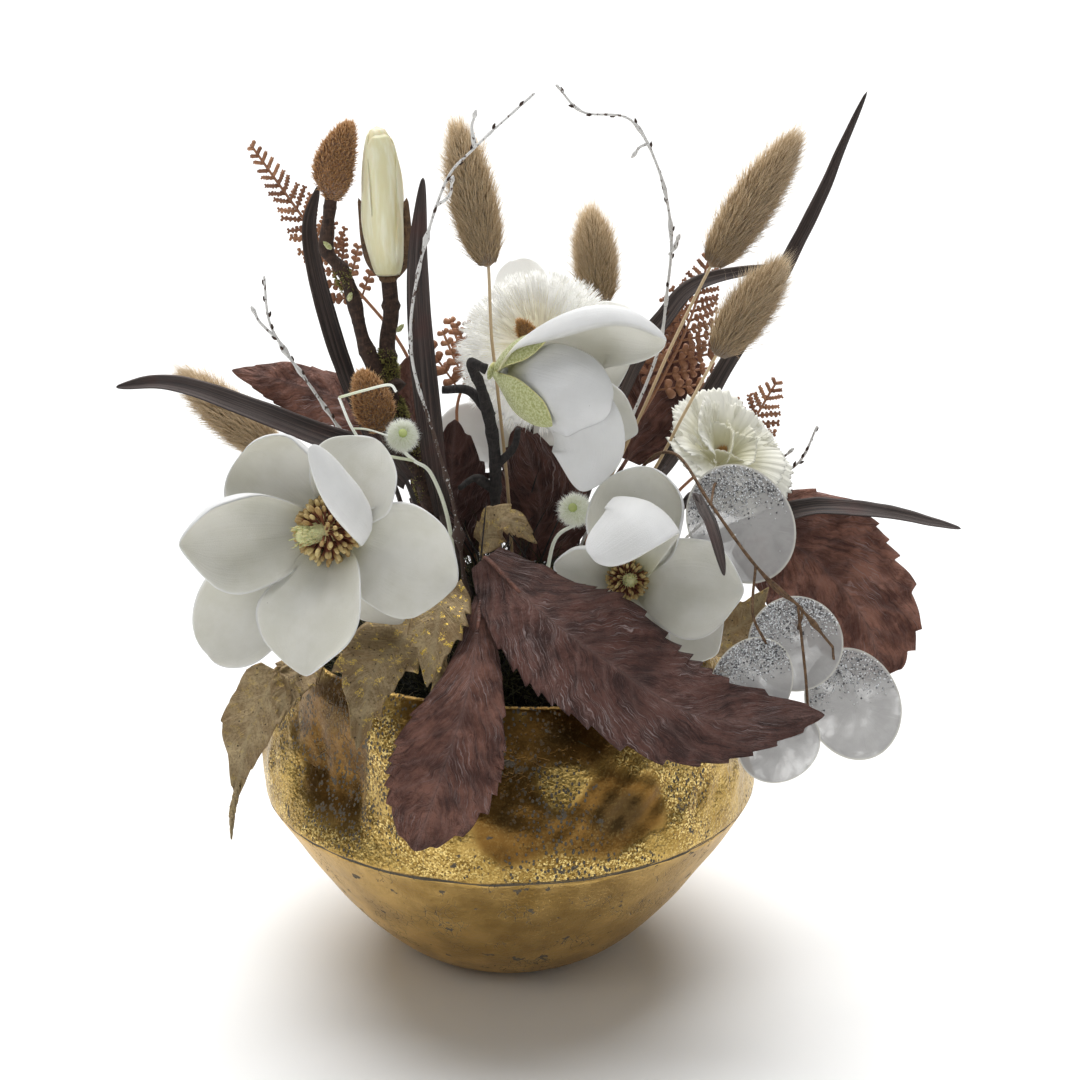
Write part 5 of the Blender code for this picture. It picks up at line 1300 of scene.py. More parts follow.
def build_buds(finishes):
    """The mossy forked branch with its two furry buds and its opening cream bud."""
    bark = Shape()
    points = [(-28, -18, 184), (-39, -18, 219), (-45, -18, 234), (-53, -15, 251), (-57, -13, 268),
              (-60.5, -12, 278),
              (-66.3, -10.5, 285), (-66, -10, 293), (-64, -10, 307)]
    knotty_stalk(bark, "bud_branch", points, 0.0036, 0.62, scar=0.009)
    twig(bark, ((-44, -17.5, 230), (-45, -12, 250), (-43.4, -10, 262), (-44, -10, 276)), 0.0031, 0.0029, 12,
         14, 1.2)
    twig(bark, ((-34, -18, 206), (-41, -26, 212), (-46, -29, 223)), 0.0024, 0.0020, 12, 10, 0.6)
    finer("bud_branch", bark, finishes["brown_bark"], "brown_bark")

    moss = Shape()
    rng = np.random.default_rng(12)
    for route, count, radius in (
        (((-30, -18, 190), (-39, -18, 219), (-45, -18, 234), (-52, -15.5, 249)), 2600, 0.0036),
        (((-44, -16, 236), (-45, -12, 250)), 900, 0.0033),
        (((-58, -12.5, 271), (-62, -12, 280)), 260, 0.0029),
    ):
        line = metres(route)
        t = rng.beta(2, 2, count)
        centre = route_point(line, t)
        ahead = route_direction(line, t)
        side, up = round_ways(ahead)
        ray = rays(rng.uniform(0, TAU, count), side, up)
        keep = drift(centre + ray * radius, 0.012, 5) > -0.1
        roots = (centre + ray * radius * 0.95)[keep]
        aims = unit(ray + rng.normal(0, 0.5, (count, 3)))[keep]
        lengths = rng.uniform(0.0006, 0.0016, len(roots))
        moss.spindles(roots, aims, lengths, 0.00022, CRUMB, rng.normal(0, 0.3, (len(roots), 3)))
    piece("bark_moss", moss, finishes["olive_moss"], "brown_bark")

    shoots = Shape()
    leaf_buds = metres([(-64.5, -14.5, 287), (-58.5, -15.5, 268), (-41, -14, 256)])
    ways = unit([(-0.55, -0.6, 0.7), (0.3, -0.6, 0.8), (0.6, -0.5, 0.7)])
    shoots.spindles(leaf_buds, ways, 0.0050, 0.0011, SHOOT, 0.0, 8)
    piece("green_shoots", shoots, finishes["sepal"], "sepal")

    form = (0.03, 0.78, 0.56)
    for name, base, tip, radius, bow in (
        ("bud_top", (-64, -10, 303), (-57, -8, 331), 0.0071, (-2.4, 0, 0)),
        ("bud_low", (-46, -29, 221), (-53, -31, 244), 0.0070, (0, 0, 0)),
    ):
        bud = Shape()
        furry_head(bud, base, tip, radius, BUD_HAIRS, 0.0027, 0.00021, form, 21, 50, 0.8, 0.90, bow,
                   neck=0.62)
        finer(name, bud, finishes["fur"], "cone")

    cream = Shape()
    place, _, _, _ = head_surface((-44, -10, 276.5), (-47, -11, 331), 0.0071, (0.07, 1.02, 0.36), furl=0.06)
    cream.ball(place, 40, 40)
    for k in range(3):
        t, v = patch(40, 30)
        wrapped = TAU * k / 3 + 0.9 + v * 1.45 * (0.35 + 0.65 * swell(t, 0.12, 0.75, 0.4)) + 0.55 * t
        inner = place(wrapped, np.clip(t * (0.97 - 0.02 * k), 0.004, 0.985))
        middle = inner.mean(axis=1, keepdims=True)
        proud = 1.01 + 0.03 * (k + 1) + 0.14 * np.abs(v) ** 6 * t + 0.04 * np.sin(9 * t + 2 * v)
        points = middle + (inner - middle) * proud[..., None]
        cream.sheet(points, 0.0006, t, v, 0.3 + 0.2 * k, size=(0.05, 0.012))
    finer("bud_cream", cream, finishes["cream_bud"], "cream_bud")

    scales = Shape()
    cup, _, _, _ = head_surface((-44, -10, 273), (-44.2, -10, 277.5), 0.0036, (0.0, 1.0, 0.5))
    scales.ball(cup, 20, 10)
    for k, (x, y) in enumerate(((-0.98, -0.02), (0.98, 0.04))):
        line = [(-44 + 2.6 * x, -10 + 2.6 * y, 275), (-44.5 + 8 * x, -10 + 8 * y, 284),
                (-45.5 + 9 * x, -10 + 9 * y, 305)]
        leaf(scales, line, 0.0064, [(-x, 0.55, 0)], form=(0.15, 0.8, 0.6), fold=0.5, rows=24, columns=15,
             seed=k, crumple=0.0002)
    finer("bud_cream_scales", scales, finishes["wiry"], "brown_bark")


# Leaves


def leaf(shape, points, half_width, facing, form=(0.04, 0.85, 0.8), fold=0.2, wave=0.0, teeth=0, tooth=0.10,
         veins=0, crumple=0.0006, rows=110, columns=33, seed=1, tint=0.5):
    """A leaf along a midrib through points in millimetres, its upper face looking along `facing`.

    The width swells and thins, the sides rise by `fold` of the half width and ripple by `wave`. `teeth`
    forward-pointing saw teeth stand along each edge: a slow rise and a quick fall, bent to the tip. Veins
    leave the midrib slanting forwards, with the skin puffed between them, and chance crumples bend it all.
    """
    route = metres(points)
    looks = unit(facing)
    t, v = patch(rows, columns)
    ahead = route_direction(route, t)
    look = looks[0] + (looks[-1] - looks[0]) * t[..., None]
    side = unit(np.cross(ahead, look))
    up = np.cross(side, ahead)
    wide = half_width * swell(t, *form) * (t < 1)
    sharp = np.abs(v) ** 5 * np.sign(v)
    saw = (teeth * t + 0.42 * np.sin(TAU * 2.3 * t + 2 * np.sign(v) + seed) + 0.25 * np.sign(v)) % 1.0
    jag = np.where(saw < 0.78, saw / 0.78, (1 - saw) / 0.22) - 0.5 if teeth else 0 * t
    rng = np.random.default_rng(seed)
    uneven = 1 + 0.35 * np.sin(TAU * 3.1 * t + rng.uniform(0, TAU)) if teeth else 1.0
    outward = v + tooth * uneven * jag * sharp
    forward = tooth * half_width * 1.1 * jag * np.abs(sharp) * np.minimum(wide / half_width * 3, 1)
    ripple = wave * np.sin(TAU * (2.3 * t + 0.15 * v)) * v * np.abs(v)
    slant = veins * (t * 1.05 - 0.16 * np.abs(v) ** 1.2)
    vein = bump_at((slant % 1.0) - 0.5, 0, 0.075) * (np.abs(v) > 0.02) if veins else 0 * t
    puff = -np.cos(TAU * slant) * 4 * np.abs(v) * (1 - np.abs(v)) if veins else 0 * t
    rib = bump_at(v * wide, 0, 0.0009)
    middle = route_point(route, t)
    flat = middle + side * (wide * outward)[..., None] + ahead * forward[..., None]
    calm = np.minimum(wide / half_width * 1.5, 1)
    uneven_skin = drift(flat, 0.030, seed + 50) + 0.45 * drift(flat, 0.012, seed + 60)
    lift = (wide * (fold * v * v + ripple) + 0.00032 * puff * calm - 0.00022 * vein * calm
            + 0.0004 * rib * (1 - t) + crumple * uneven_skin * (0.25 + 0.75 * np.abs(v)) * calm)
    length = span_lengths(route).sum()
    ribbed = np.maximum(vein * 0.6, rib)
    shape.sheet(flat + up * lift[..., None], LEAF_THICKNESS, t, v, tint, ribbed, ribbed, (length, half_width))


def leaf_on_stalk(name, stem, points, half_width, facing, radius, finish, slot, **form):
    """A leaf with the stalk that carries it; the stalk runs on as the first of the midrib."""
    shape = Shape()
    route = metres(points)
    midrib = route_point(route, np.array([0.0, 0.16])) / MM
    stalk(shape, name, [*stem, *midrib], radius)
    leaf(shape, points, half_width, facing, **form)
    finer(name, shape, finish, slot)


def build_blades(finishes):
    """Seven long strap leaves, near black."""
    front = (0.1, -0.95, 0.3)
    blades = (
        ([(-38, -8, 176)], [(-44, -6, 194), (-56, -1, 218), (-67, 3, 249), (-75, 8, 286), (-71, 10, 306)],
         0.0040, [(0.8, -0.5, 0.1), front]),
        ([(-20, -24, 172)], [(-25, -26, 188), (-29, -29, 226), (-32, -25, 274), (-30, -20, 314)],
         0.0048, [(0.3, -0.9, 0.1), (-0.3, -0.9, 0.1)]),
        ([(40, 16, 160)], [(55, 30, 179), (68, 36, 196), (84, 40, 223), (115, 44, 279), (138, 44, 337)],
         0.0042, [(-0.6, -0.75, 0.3), (-0.7, -0.7, 0.2)]),
        ([(-33, -30, 184)],
         [(-37, -38, 205), (-46, -44, 216), (-65, -48, 224), (-115, -44, 242), (-141, -42, 242)],
         0.0048, [(-0.2, -0.8, 0.55), (0.1, -0.6, 0.8)]),
        ([(28, 22, 172)], [(38, 24, 202), (49, 30, 231), (61, 34, 249), (75, 38, 263), (109, 40, 270)],
         0.0042, [(-0.5, -0.7, 0.4), (0.0, -0.7, 0.7)]),
        ([(58, -10, 158)], [(80, -8, 172), (107, -8, 182), (131, -16, 187), (170, -30, 184)],
         0.0046, [(0.2, -0.6, 0.8), (0.1, -0.5, 0.85)]),
        ([(50, -28, 160), (65, -36, 196)], [(68, -58, 206), (72, -78, 200), (76, -90, 187)],
         0.0026, [(0.2, -0.6, 0.8), (0.5, -0.8, 0.2)]),
    )
    for k, (stem, points, half_width, facing) in enumerate(blades):
        leaf_on_stalk(f"blade_{k + 1}", stem, points, half_width, facing, BLADE_STEM, finishes["dark_blade"],
                      "dark_blade",
                      form=(0.10, 0.9, 0.5), fold=0.5, rows=120, columns=17, seed=k, crumple=0.0003, wave=0.1)


def build_burgundy_leaves(finishes):
    """Eight broad saw-edged leaves."""
    leaves = (
        ("leaf_front", [(-4, -44, 164)],
         [(-8, -54, 181), (13, -85, 171), (37, -101, 158), (68, -109, 142), (111, -105, 141)],
         0.0230, [(0.05, -0.8, 0.6)],
         dict(teeth=17, form=(0.05, 0.95, 0.75), fold=-0.12, wave=0.12, veins=11, rows=230, columns=45,
              tint=0.10)),
        ("leaf_hanging", [(-10, -54, 160)],
         [(-9, -66, 171), (-13, -96, 147), (-22, -113, 122), (-32, -116, 94)],
         0.0194, [(-0.2, -0.8, 0.55), (-0.1, -0.95, 0.1)],
         dict(teeth=13, form=(0.13, 1.95, 0.72), fold=-0.15, wave=0.14, veins=9, rows=190, columns=45,
              tint=0.55)),
        ("leaf_right", [(66, 0, 156)], [(91, -4, 176), (113, -12, 169), (132, -24, 152), (144, -36, 127)],
         0.0262, [(0.1, -0.85, 0.5)],
         dict(teeth=11, form=(0.06, 1.05, 0.42), fold=0.10, wave=0.12, veins=9, rows=190, columns=45,
              tint=1.0)),
        ("leaf_inner_left", [(-12, 4, 152)], [(-15, 4, 162), (-22, 4, 186), (-21, 8, 216)],
         0.0170, [(0.1, -0.95, 0.2)], dict(teeth=11, veins=8, tint=0.0)),
        ("leaf_inner_right", [(7, -4, 152)], [(9, -3, 162), (12, 2, 186), (3, 6, 214)],
         0.0190, [(0.0, -0.95, 0.25)], dict(teeth=11, veins=8, tint=0.1)),
        ("leaf_left", [(-32, 10, 168)], [(-44, 12, 208), (-66, 14, 222), (-88, 16, 229), (-108, 18, 233)],
         0.0108, [(0.0, -0.75, 0.65)], dict(teeth=8, tooth=0.06, fold=-0.15, veins=9, tint=0.8)),
        ("leaf_rear", [(30, 44, 160)], [(48, 60, 184), (60, 66, 212), (70, 70, 242)],
         0.0200, [(0.1, -0.9, 0.3)], dict(teeth=12, veins=8)),
        ("leaf_small", [(-22, 18, 164)], [(-36, 24, 200), (-39, 24, 222), (-38, 24, 238)],
         0.0100, [(0.0, -0.95, 0.2)], dict(teeth=9, veins=7)),
    )
    for k, (name, stem, points, half_width, facing, form) in enumerate(leaves):
        leaf_on_stalk(name, stem, points, half_width, facing, LEAF_STEM, finishes["burgundy"],
                      "burgundy_leaf", seed=30 + k, crumple=0.0013, **form)


def build_gold_leaves(finishes):
    """Four sprays of small gilded leaves with cut edges; the left one ends in a narrow curled tail."""
    sprays = (
        ("gold_left", [(-60, -42, 138), (-72, -50, 141.5), (-80, -57, 140)], (
            ([(-84, -61, 139), (-94.5, -69, 119), (-100, -76, 94)], 0.0124, (-0.5, -0.8, 0.3), 3, 0.08, 0.1),
            ([(-72, -50, 141.5), (-80, -64, 135), (-83, -74, 124)], 0.0080, (0.1, -0.8, 0.5), 5, 0.20, 0.3),
            ([(-98.5, -75, 101), (-101.5, -77, 89), (-102, -78, 79)], 0.0013, (-0.2, -0.9, 0.3), 0, 0.0, 0.0),
        )),
        ("gold_centre", [(-32, -57, 156), (-26, -62, 170)], (
            ([(-22, -66, 176), (-25, -80, 162), (-28, -90, 145)], 0.0108, (-0.1, -0.9, 0.4), 5, 0.24, 1.0),
            ([(-32, -57, 156), (-47, -80, 147), (-53, -97, 124)], 0.0150, (-0.3, -0.85, 0.45), 4, 0.34, 0.7),
            ([(-27, -76, 160), (-24, -84, 149), (-27, -87, 138.5)], 0.0036, (-0.3, -0.9, 0.2), 2, 0.2, 0.5),
        )),
        ("gold_small", [(-9, -36, 170)], (
            ([(-10, -37, 180), (-1, -43, 192), (11, -47, 184)], 0.0070, (0.1, -0.7, 0.7), 4, 0.25, 0.3),
        )),
        ("gold_right", [(56, -42, 144)], (
            ([(71, -41, 146), (86, -42, 149), (97, -44, 166)], 0.0095, (-0.2, -0.9, 0.3), 5, 0.20, 0.3),
        )),
    )
    for j, (name, stem, leaves) in enumerate(sprays):
        shape = Shape()
        first = metres(leaves[0][0])
        stalk(shape, name, [*stem, leaves[0][0][0], tuple(route_point(first, np.array(0.15)) / MM)],
              GOLD_LEAF_STEM)
        for k, (points, half_width, facing, teeth, tooth, tint) in enumerate(leaves):
            leaf(shape, points, half_width, [facing], form=(0.09, 0.70, 1.0), fold=0.22, wave=0.16,
                 teeth=teeth,
                 tooth=tooth, veins=6, crumple=0.0009, columns=31, seed=60 + 5 * j + k, tint=tint)
        finer(name, shape, finishes["gilded"], "gilded_leaf")


# Twigs, ferns and grasses


def build_twigs(finishes):
    """Four thin whitewashed birch twigs with side spurs, dark nodes and catkin tips."""
    twigs = (
        ([(-44, -14, 186), (-63, -22, 221), (-73, -24, 238), (-82, -25, 252), (-87, -25, 263),
          (-88, -25, 279)],
         (((-84.5, -25, 256), (-90, -26, 262), (-92, -26, 266)),)),
        ([(-19, -38, 190), (-26, -42, 222), (-34, -42, 253), (-32, -38, 280), (-22, -34, 313),
          (-11, -30, 326),
          (10, -14, 343)],
         (((-25, -35, 306), (-20, -36, 310), (-19, -37, 315)),
          ((-11, -30, 326), (-12, -31, 333), (-11, -31, 337)))),
        ([(40, 12, 196), (57, 20, 237), (61, 20, 264), (62, 20, 287), (57, 20, 310), (46, 20, 329),
          (28, 20, 332),
          (18, 20, 342)],
         (((61.5, 20, 278), (63.5, 19, 281), (64.5, 19, 284)),
          ((52, 20, 320), (49.5, 19, 319), (48, 19, 317)))),
        ([(72, 22, 164), (98, 30, 182), (112, 32, 188), (118, 33, 194), (123, 34, 206)],
         (((104, 31, 184), (108, 31, 192), (112, 31, 196)),)),
    )
    dark = Shape()
    for k, (points, spurs) in enumerate(twigs):
        name = f"twig_{k + 1}"
        shape = Shape()
        route = stalk(shape, name, points, THIN_STEM, 0.60, sides=8, steps=14, knots=0.9, seed=k)
        rng = np.random.default_rng(40 + k)
        for spur in spurs:
            twig(shape, spur, 0.0006, 0.0005, 7, 8, 0.8, k)
            end = metres(spur[-1])
            way = unit(end - metres(spur[-2]))
            shape.spindles(end[None] - way * 0.0005, way[None], 0.0032, 0.0009, CATKIN, 0.0, 8)
        # Dark bud scales at even places, each at a chance turn round the twig
        t = np.linspace(0.40, 0.97, 12)
        centres = route_point(route, t)
        ahead = route_direction(route, t)
        side, up = round_ways(ahead)
        ray = rays(rng.uniform(0, TAU, len(t)), side, up)
        dark.spindles(centres + ray * 0.0004, unit(ahead + 0.55 * ray), 0.0024, 0.00062, BUD_SCALE,
                      0.0, 7)
        finer(name, shape, finishes["white_twig"], "white_twig")
    piece("twig_buds", dark, finishes["brown_bark"], "brown_bark")


def frond(name, points, reach_out, pairs, facing, start, finish, seed):
    """A fern frond: a rib with pairs of side ribs that shorten to its tip, each a comb of fat round lobes.

    Near the tip the side ribs are short plain fingers.
    """
    route = metres(points)
    rng = np.random.default_rng(seed)
    shape = Shape()
    stalk(shape, name, points, FROND_STEM, 0.55, 7, 8)
    look = unit(facing)
    share = np.repeat(np.linspace(0, 1, pairs), 2)
    hand = np.tile([-1.0, 1.0], pairs)
    t = start + (0.985 - start) * share**0.86
    ahead = route_direction(route, t)
    across = unit(np.cross(ahead, look))
    span = reach_out * (1 - 0.84 * share**0.85) * rng.uniform(0.90, 1.06, len(t))
    way = unit(across * hand[:, None] * 0.80 + ahead * 0.6 + rng.normal(0, 0.06, (len(t), 3)))
    root = route_point(route, np.clip(t + 0.004 * hand, 0, 1))
    droop = look * -0.10 + rng.normal(0, 0.05, (len(t), 3))
    chance = rng.random(len(t))
    shape.spindles(root, way, span, 0.00052 + 0.00038 * share, SIDE_RIB, droop, 7, look, 0.8, chance)
    s = np.linspace(0.20, 0.93, LOBES)
    bowed = way[:, None] * s[:, None] + droop[:, None] * s[:, None] ** 2
    lobe_root = root[:, None] + span[:, None, None] * bowed
    out = unit(np.cross(way, look))
    for sign in (-1, 1):
        aim = unit(sign * out[:, None] * 0.85 + way[:, None] * 0.55 + rng.normal(0, 0.14, (len(t), LOBES, 3)))
        size = (0.185 * span[:, None] * (1 - 0.30 * s) + 0.0002) * rng.uniform(0.80, 1.12, (len(t), LOBES))
        length = size.ravel()
        shape.spindles(lobe_root.reshape(-1, 3), aim.reshape(-1, 3), length, length * 0.44, LOBE,
                       -0.12 * look, 7, look, 0.50, np.repeat(chance, LOBES))
    finer(name, shape, finish, "copper_fern")


def build_ferns(finishes):
    """Four copper fern fronds."""
    fronds = (
        ("fern_1", [(-26, 24, 200), (-42, 27, 240), (-64, 30, 268), (-83, 32, 295), (-99, 34, 318)], 0.0155,
         17, (0.1, -0.95, 0.2), 0.42),
        ("fern_2", [(-14, 20, 186), (-21, 26, 214), (-12, 32, 234), (4, 36, 250)], 0.025, 12,
         (0.1, -0.95, 0.2), 0.45),
        ("fern_3", [(38, 46, 180), (58, 56, 212), (72, 57, 242), (80, 57, 270)], 0.023, 14,
         (0.05, -0.95, 0.2), 0.36),
        ("fern_4", [(66, 34, 176), (92, 44, 196), (108, 50, 220)], 0.018, 9, (0.1, -0.9, 0.35), 0.40),
    )
    for k, (name, points, reach_out, pairs, facing, start) in enumerate(fronds):
        frond(name, points, reach_out, pairs, facing, start, finishes["fern"], 50 + k)


def build_tails(finishes):
    """Five bunny-tail grasses: a soft oval head of fine swept hair on a straw."""
    tails = (
        ("tail_1", [(0, -12, 190), (-4, -17, 236), (-6, -17, 256)], (-7, -10, 279), (-18, -10, 330), 0.0088),
        ("tail_2", [(34, 1, 184), (50, 2, 218), (62, 4, 246)], (76, 5, 276), (107, 10, 324), 0.0092),
        ("tail_3", [(42, -8, 178), (56, -15, 204), (66, -14, 224)], (78, -8, 245), (100, -10, 279), 0.0088),
        ("tail_4", [(20, 34, 188), (30, 40, 224)], (36, 42, 252), (32, 44, 288), 0.0086),
        ("tail_5", [(-48, 2, 166), (-72, 2, 182)], (-88, 6, 200), (-126, 14, 232), 0.0086),
    )
    form = (0.03, 0.8, 0.55)
    for k, (name, stem, base, tip, radius) in enumerate(tails):
        shape = Shape()
        base, tip = np.array(base, float), np.array(tip, float)
        stalk(shape, name, [*stem, base, base + (tip - base) * 0.12], THIN_STEM, 0.8)
        end = base + (tip - base) * 0.93
        furry_head(shape, base, end, radius * 0.88, TAIL_HAIRS, 0.0088, 0.00011, form, 70 + k, 68, 0.42, 0.78)
        furry_head(shape, base, end, radius * 0.85, TAIL_STRAYS, 0.0125, 0.00008, form, 80 + k, 62, 0.80,
                   0.78)
        finer(name, shape, finishes["tail"], "grass_tail")


# Honesty and pompoms


def pod_ways(facing, lean):
    """A disc's look, tall and wide directions, from where it faces and how far it leans, in degrees."""
    look = unit(facing)
    up = unit(np.array([0, 0, 1.0]) - look * look[2])
    turn = math.radians(lean)
    tall = up * math.cos(turn) + np.cross(up, look) * math.sin(turn)
    return look, tall, np.cross(tall, look)


def build_honesty(finishes):
    """Five thin silvery seed discs with a raised rim and glitter, on wiry stems."""
    stems = Shape()
    points = [(38, -14, 176), (50, -24, 206), (61, -46, 218), (72, -74, 208), (87, -88, 190), (102, -90, 176),
              (115, -89, 160)]
    stalk(stems, "honesty", points, THIN_STEM, 0.7, 8, 10, knots=0.6)
    pods = (
        ([(72, -74, 208)], (84.5, -57, 195), (0.05, -0.93, 0.35), 45, 38, -30, 1500),
        ([(87, -88, 190), (95, -87, 180)], (103, -81, 158), (0.0, -0.95, 0.3), 34, 34, 8, 1500),
        ([(115, -89, 160)], (124, -84, 136), (0.05, -0.96, 0.25), 42, 34, -24, 900),
        ([(87, -88, 190), (86, -94, 174)], (86, -95, 148), (-0.1, -0.95, 0.25), 36, 28, 25, 1300),
        ([(102, -90, 176), (105, -98, 150)], (96, -101, 128), (-0.05, -0.95, 0.25), 30, 26, 55, 60),
    )
    discs = Shape()
    glitter = Shape()
    for k, (thread, centre, facing, tall, wide, lean, flakes) in enumerate(pods):
        look, tall_way, wide_way = pod_ways(facing, lean)
        middle = metres(centre)
        half_tall, half_wide = tall / 2 * MM, wide / 2 * MM

        def surface(radius, angle):
            """An oval point at a share of its radius, dished by a slow unevenness."""
            flat = (middle + wide_way * (radius * half_wide * np.cos(angle))[..., None]
                    + tall_way * (radius * half_tall * np.sin(angle))[..., None])
            dish = 0.0011 * drift(flat, 0.045, 90 + k) + 0.0006 * (1 - radius**2)
            return flat + look * dish[..., None]

        r, angle = np.meshgrid(np.linspace(0, 1, 22), np.linspace(0, TAU, 73), indexing="ij")
        rows = surface(r, angle)
        half = look * (0.00022 * np.clip(1 - r**20, 0, 1) ** 0.5
                       + 0.00022 * bump_at(r, 0.965, 0.02))[..., None]
        marks = np.stack([r, np.cos(angle), 0 * r + 0.3], -1)
        lies = np.stack([r * half_tall, angle * 0.01, 0 * r], -1)
        discs.grid(rows + half, marks, lies, flip=True)
        discs.grid(rows - half, marks, lies)
        route = np.vstack([metres(thread), middle + tall_way * half_tall * 0.76,
                           middle + tall_way * half_tall * 0.30])
        t = np.linspace(0, 1, 20)
        line = route_point(route, t)
        stems.tube(line + look * 0.0006 * t[:, None], np.full(20, 0.0005), 6)
        rng = np.random.default_rng(100 + k)
        spread = rng.random((flakes * 3, 2))
        radius = np.sqrt(spread[:, 0]) * 0.97
        bearing = spread[:, 1] * TAU
        height = radius * np.sin(bearing - math.radians(lean) - 0.25)
        keep = rng.random(len(radius)) < 1 / (1 + np.exp(-12 * (height - 0.28)))
        radius, bearing = radius[keep][:flakes], bearing[keep][:flakes]
        places = surface(radius, bearing)
        face = rng.choice([-1.0, 1.0], len(places), p=[0.3, 0.7])[:, None]
        tilt = unit(look * face + rng.normal(0, 0.30, (len(places), 3)))
        girths = rng.uniform(0.00016, 0.00044, len(places))
        glitter.spindles(places + look * face * 0.00032, tilt, 0.00020, girths, POINT, 0.0, 6)
    finer("honesty", discs, finishes["disc"], "honesty_disc")
    piece("honesty_stems", stems, finishes["wiry"], "brown_bark")
    piece("honesty_glitter", glitter, finishes["glitter"], "honesty_disc")


def build_pompoms(finishes):
    """Two fuzzy pompoms with a lime-green eye, the left one on a forked white stalk."""
    heads = (
        ("pompom_left", [(-22, -28, 184), (-28, -33, 206), (-34, -41, 214)], (-38, -43, 224), 0.0062,
         (0.12, -0.85, 0.5)),
        ("pompom_right", [(17, -24, 176)], (25, -32, 192), 0.0066, (-0.2, -0.8, 0.5)),
    )
    eyes = Shape()
    for k, (name, stem, centre, radius, eye) in enumerate(heads):
        shape = Shape()
        middle = metres(centre)
        low = middle - np.array([0, 0, radius * 0.8])
        stalk(shape, name, [*stem, low / MM, middle / MM], 0.0008, 0.8, 8, 8)
        if k == 0:
            fork = (-54.6, -58, 231)
            twig(shape, ((-34, -41, 214), (-48, -56, 222), fork, (-59, -58, 242.4)), 0.0006, 0.0005, 8, 10)
            twig(shape, ((-59, -58, 242.4), (-50, -58, 245), (-41.2, -58, 247), (-38.7, -58, 244.5)), 0.0005,
                 0.0005, 8, 8)
            twig(shape, (fork, (-50, -52, 229), (-43, -46, 225)), 0.0004, 0.0003, 8, 8)
        rng = np.random.default_rng(110 + k)
        angle, share = spiral(POMPOM_HAIRS)
        height = 1 - 2 * share
        flat = np.sqrt(1 - height**2)
        ray = around(flat, angle, height)
        eye_way = unit(eye)
        facing = ray @ eye_way
        aims = unit(ray + rng.normal(0, 0.22, ray.shape) + (facing > 0.75)[:, None] * (ray - eye_way) * 1.5)
        keep = facing < 0.97
        lengths = radius * 0.52 * rng.uniform(0.7, 1.15, len(ray))
        shape.spindles((middle + ray * radius * 0.55)[keep], aims[keep], lengths[keep], 0.00010, FUZZ,
                       rng.normal(0, 0.12, ray.shape)[keep])

        def heart(angle, t):
            """A point of the small ball that the hairs root in."""
            return middle + radius * 0.60 * around(np.sin(math.pi * t), angle, -np.cos(math.pi * t))

        shape.ball(heart, 20, 14, 0.3)
        finer(name, shape, finishes["pompom"], "pompom")
        start = middle + eye_way * radius * 0.50
        bud, _, _, _ = head_surface(start / MM, (start + eye_way * radius * 0.42) / MM, radius * 0.26,
                                    (0.25, 1.0, 0.5))
        eyes.ball(bud, 16, 12)
    piece("pompom_eyes", eyes, finishes["lime"], "sepal")


# Bowl and moss


# Soft dimples in the shoulder: angle in degrees from +X, height, width, tallness and depth in millimetres
DIMPLES = (
    (-84, 108, 15, 15, 3.4),
    (-64, 94, 16, 12, 4.0),
    (-104, 112, 10, 13, 2.2),
    (-128, 98, 14, 16, 2.6),
    (-38, 104, 13, 15, 2.6),
    (-12, 100, 14, 13, 2.2),
    (20, 106, 16, 14, 3.0),
    (62, 98, 15, 15, 2.8),
    (100, 106, 13, 14, 3.0),
    (138, 98, 15, 15, 2.6),
    (178, 104, 14, 14, 2.8),
)


# Patches of painted dark reflection and shade, and of painted highlights where the strength is below zero:
# angle, height, width and tallness as above, then the strength
SHADE_AND_HIGHLIGHT_PATCHES = (
    (-64, 93, 19, 13, 1.7),
    (-76, 122, 24, 9, 1.3),
    (-90, 97, 12, 17, 1.2),
    (-140, 117, 20, 16, 1.3),
    (-111, 112, 11, 20, 1.1),
    (-76, 107, 9, 8, -0.8),
    (-46, 106, 9, 16, -0.5),
    (-123, 104, 8, 20, -1.0),
    (-25, 112, 13, 14, 0.7),
    (20, 100, 14, 14, 0.8),
    (60, 116, 14, 12, 0.7),
    (100, 98, 15, 13, 0.8),
    (140, 115, 14, 14, 0.8),
    (178, 100, 14, 13, 0.8),
)


def patches_at(patches, angle, height):
    """The sum of bell-shaped patches on the bowl, each times its last number."""
    total = 0 * angle
    for degrees, tall_at, width, tall, strength in patches:
        apart = (angle - math.radians(degrees) + math.pi) % TAU - math.pi
        across = apart * BOWL_BELLY_RADIUS / (width * MM)
        total = total + strength * np.exp(-(across**2)) * bump_at(height, tall_at * MM, tall * MM)
    return total


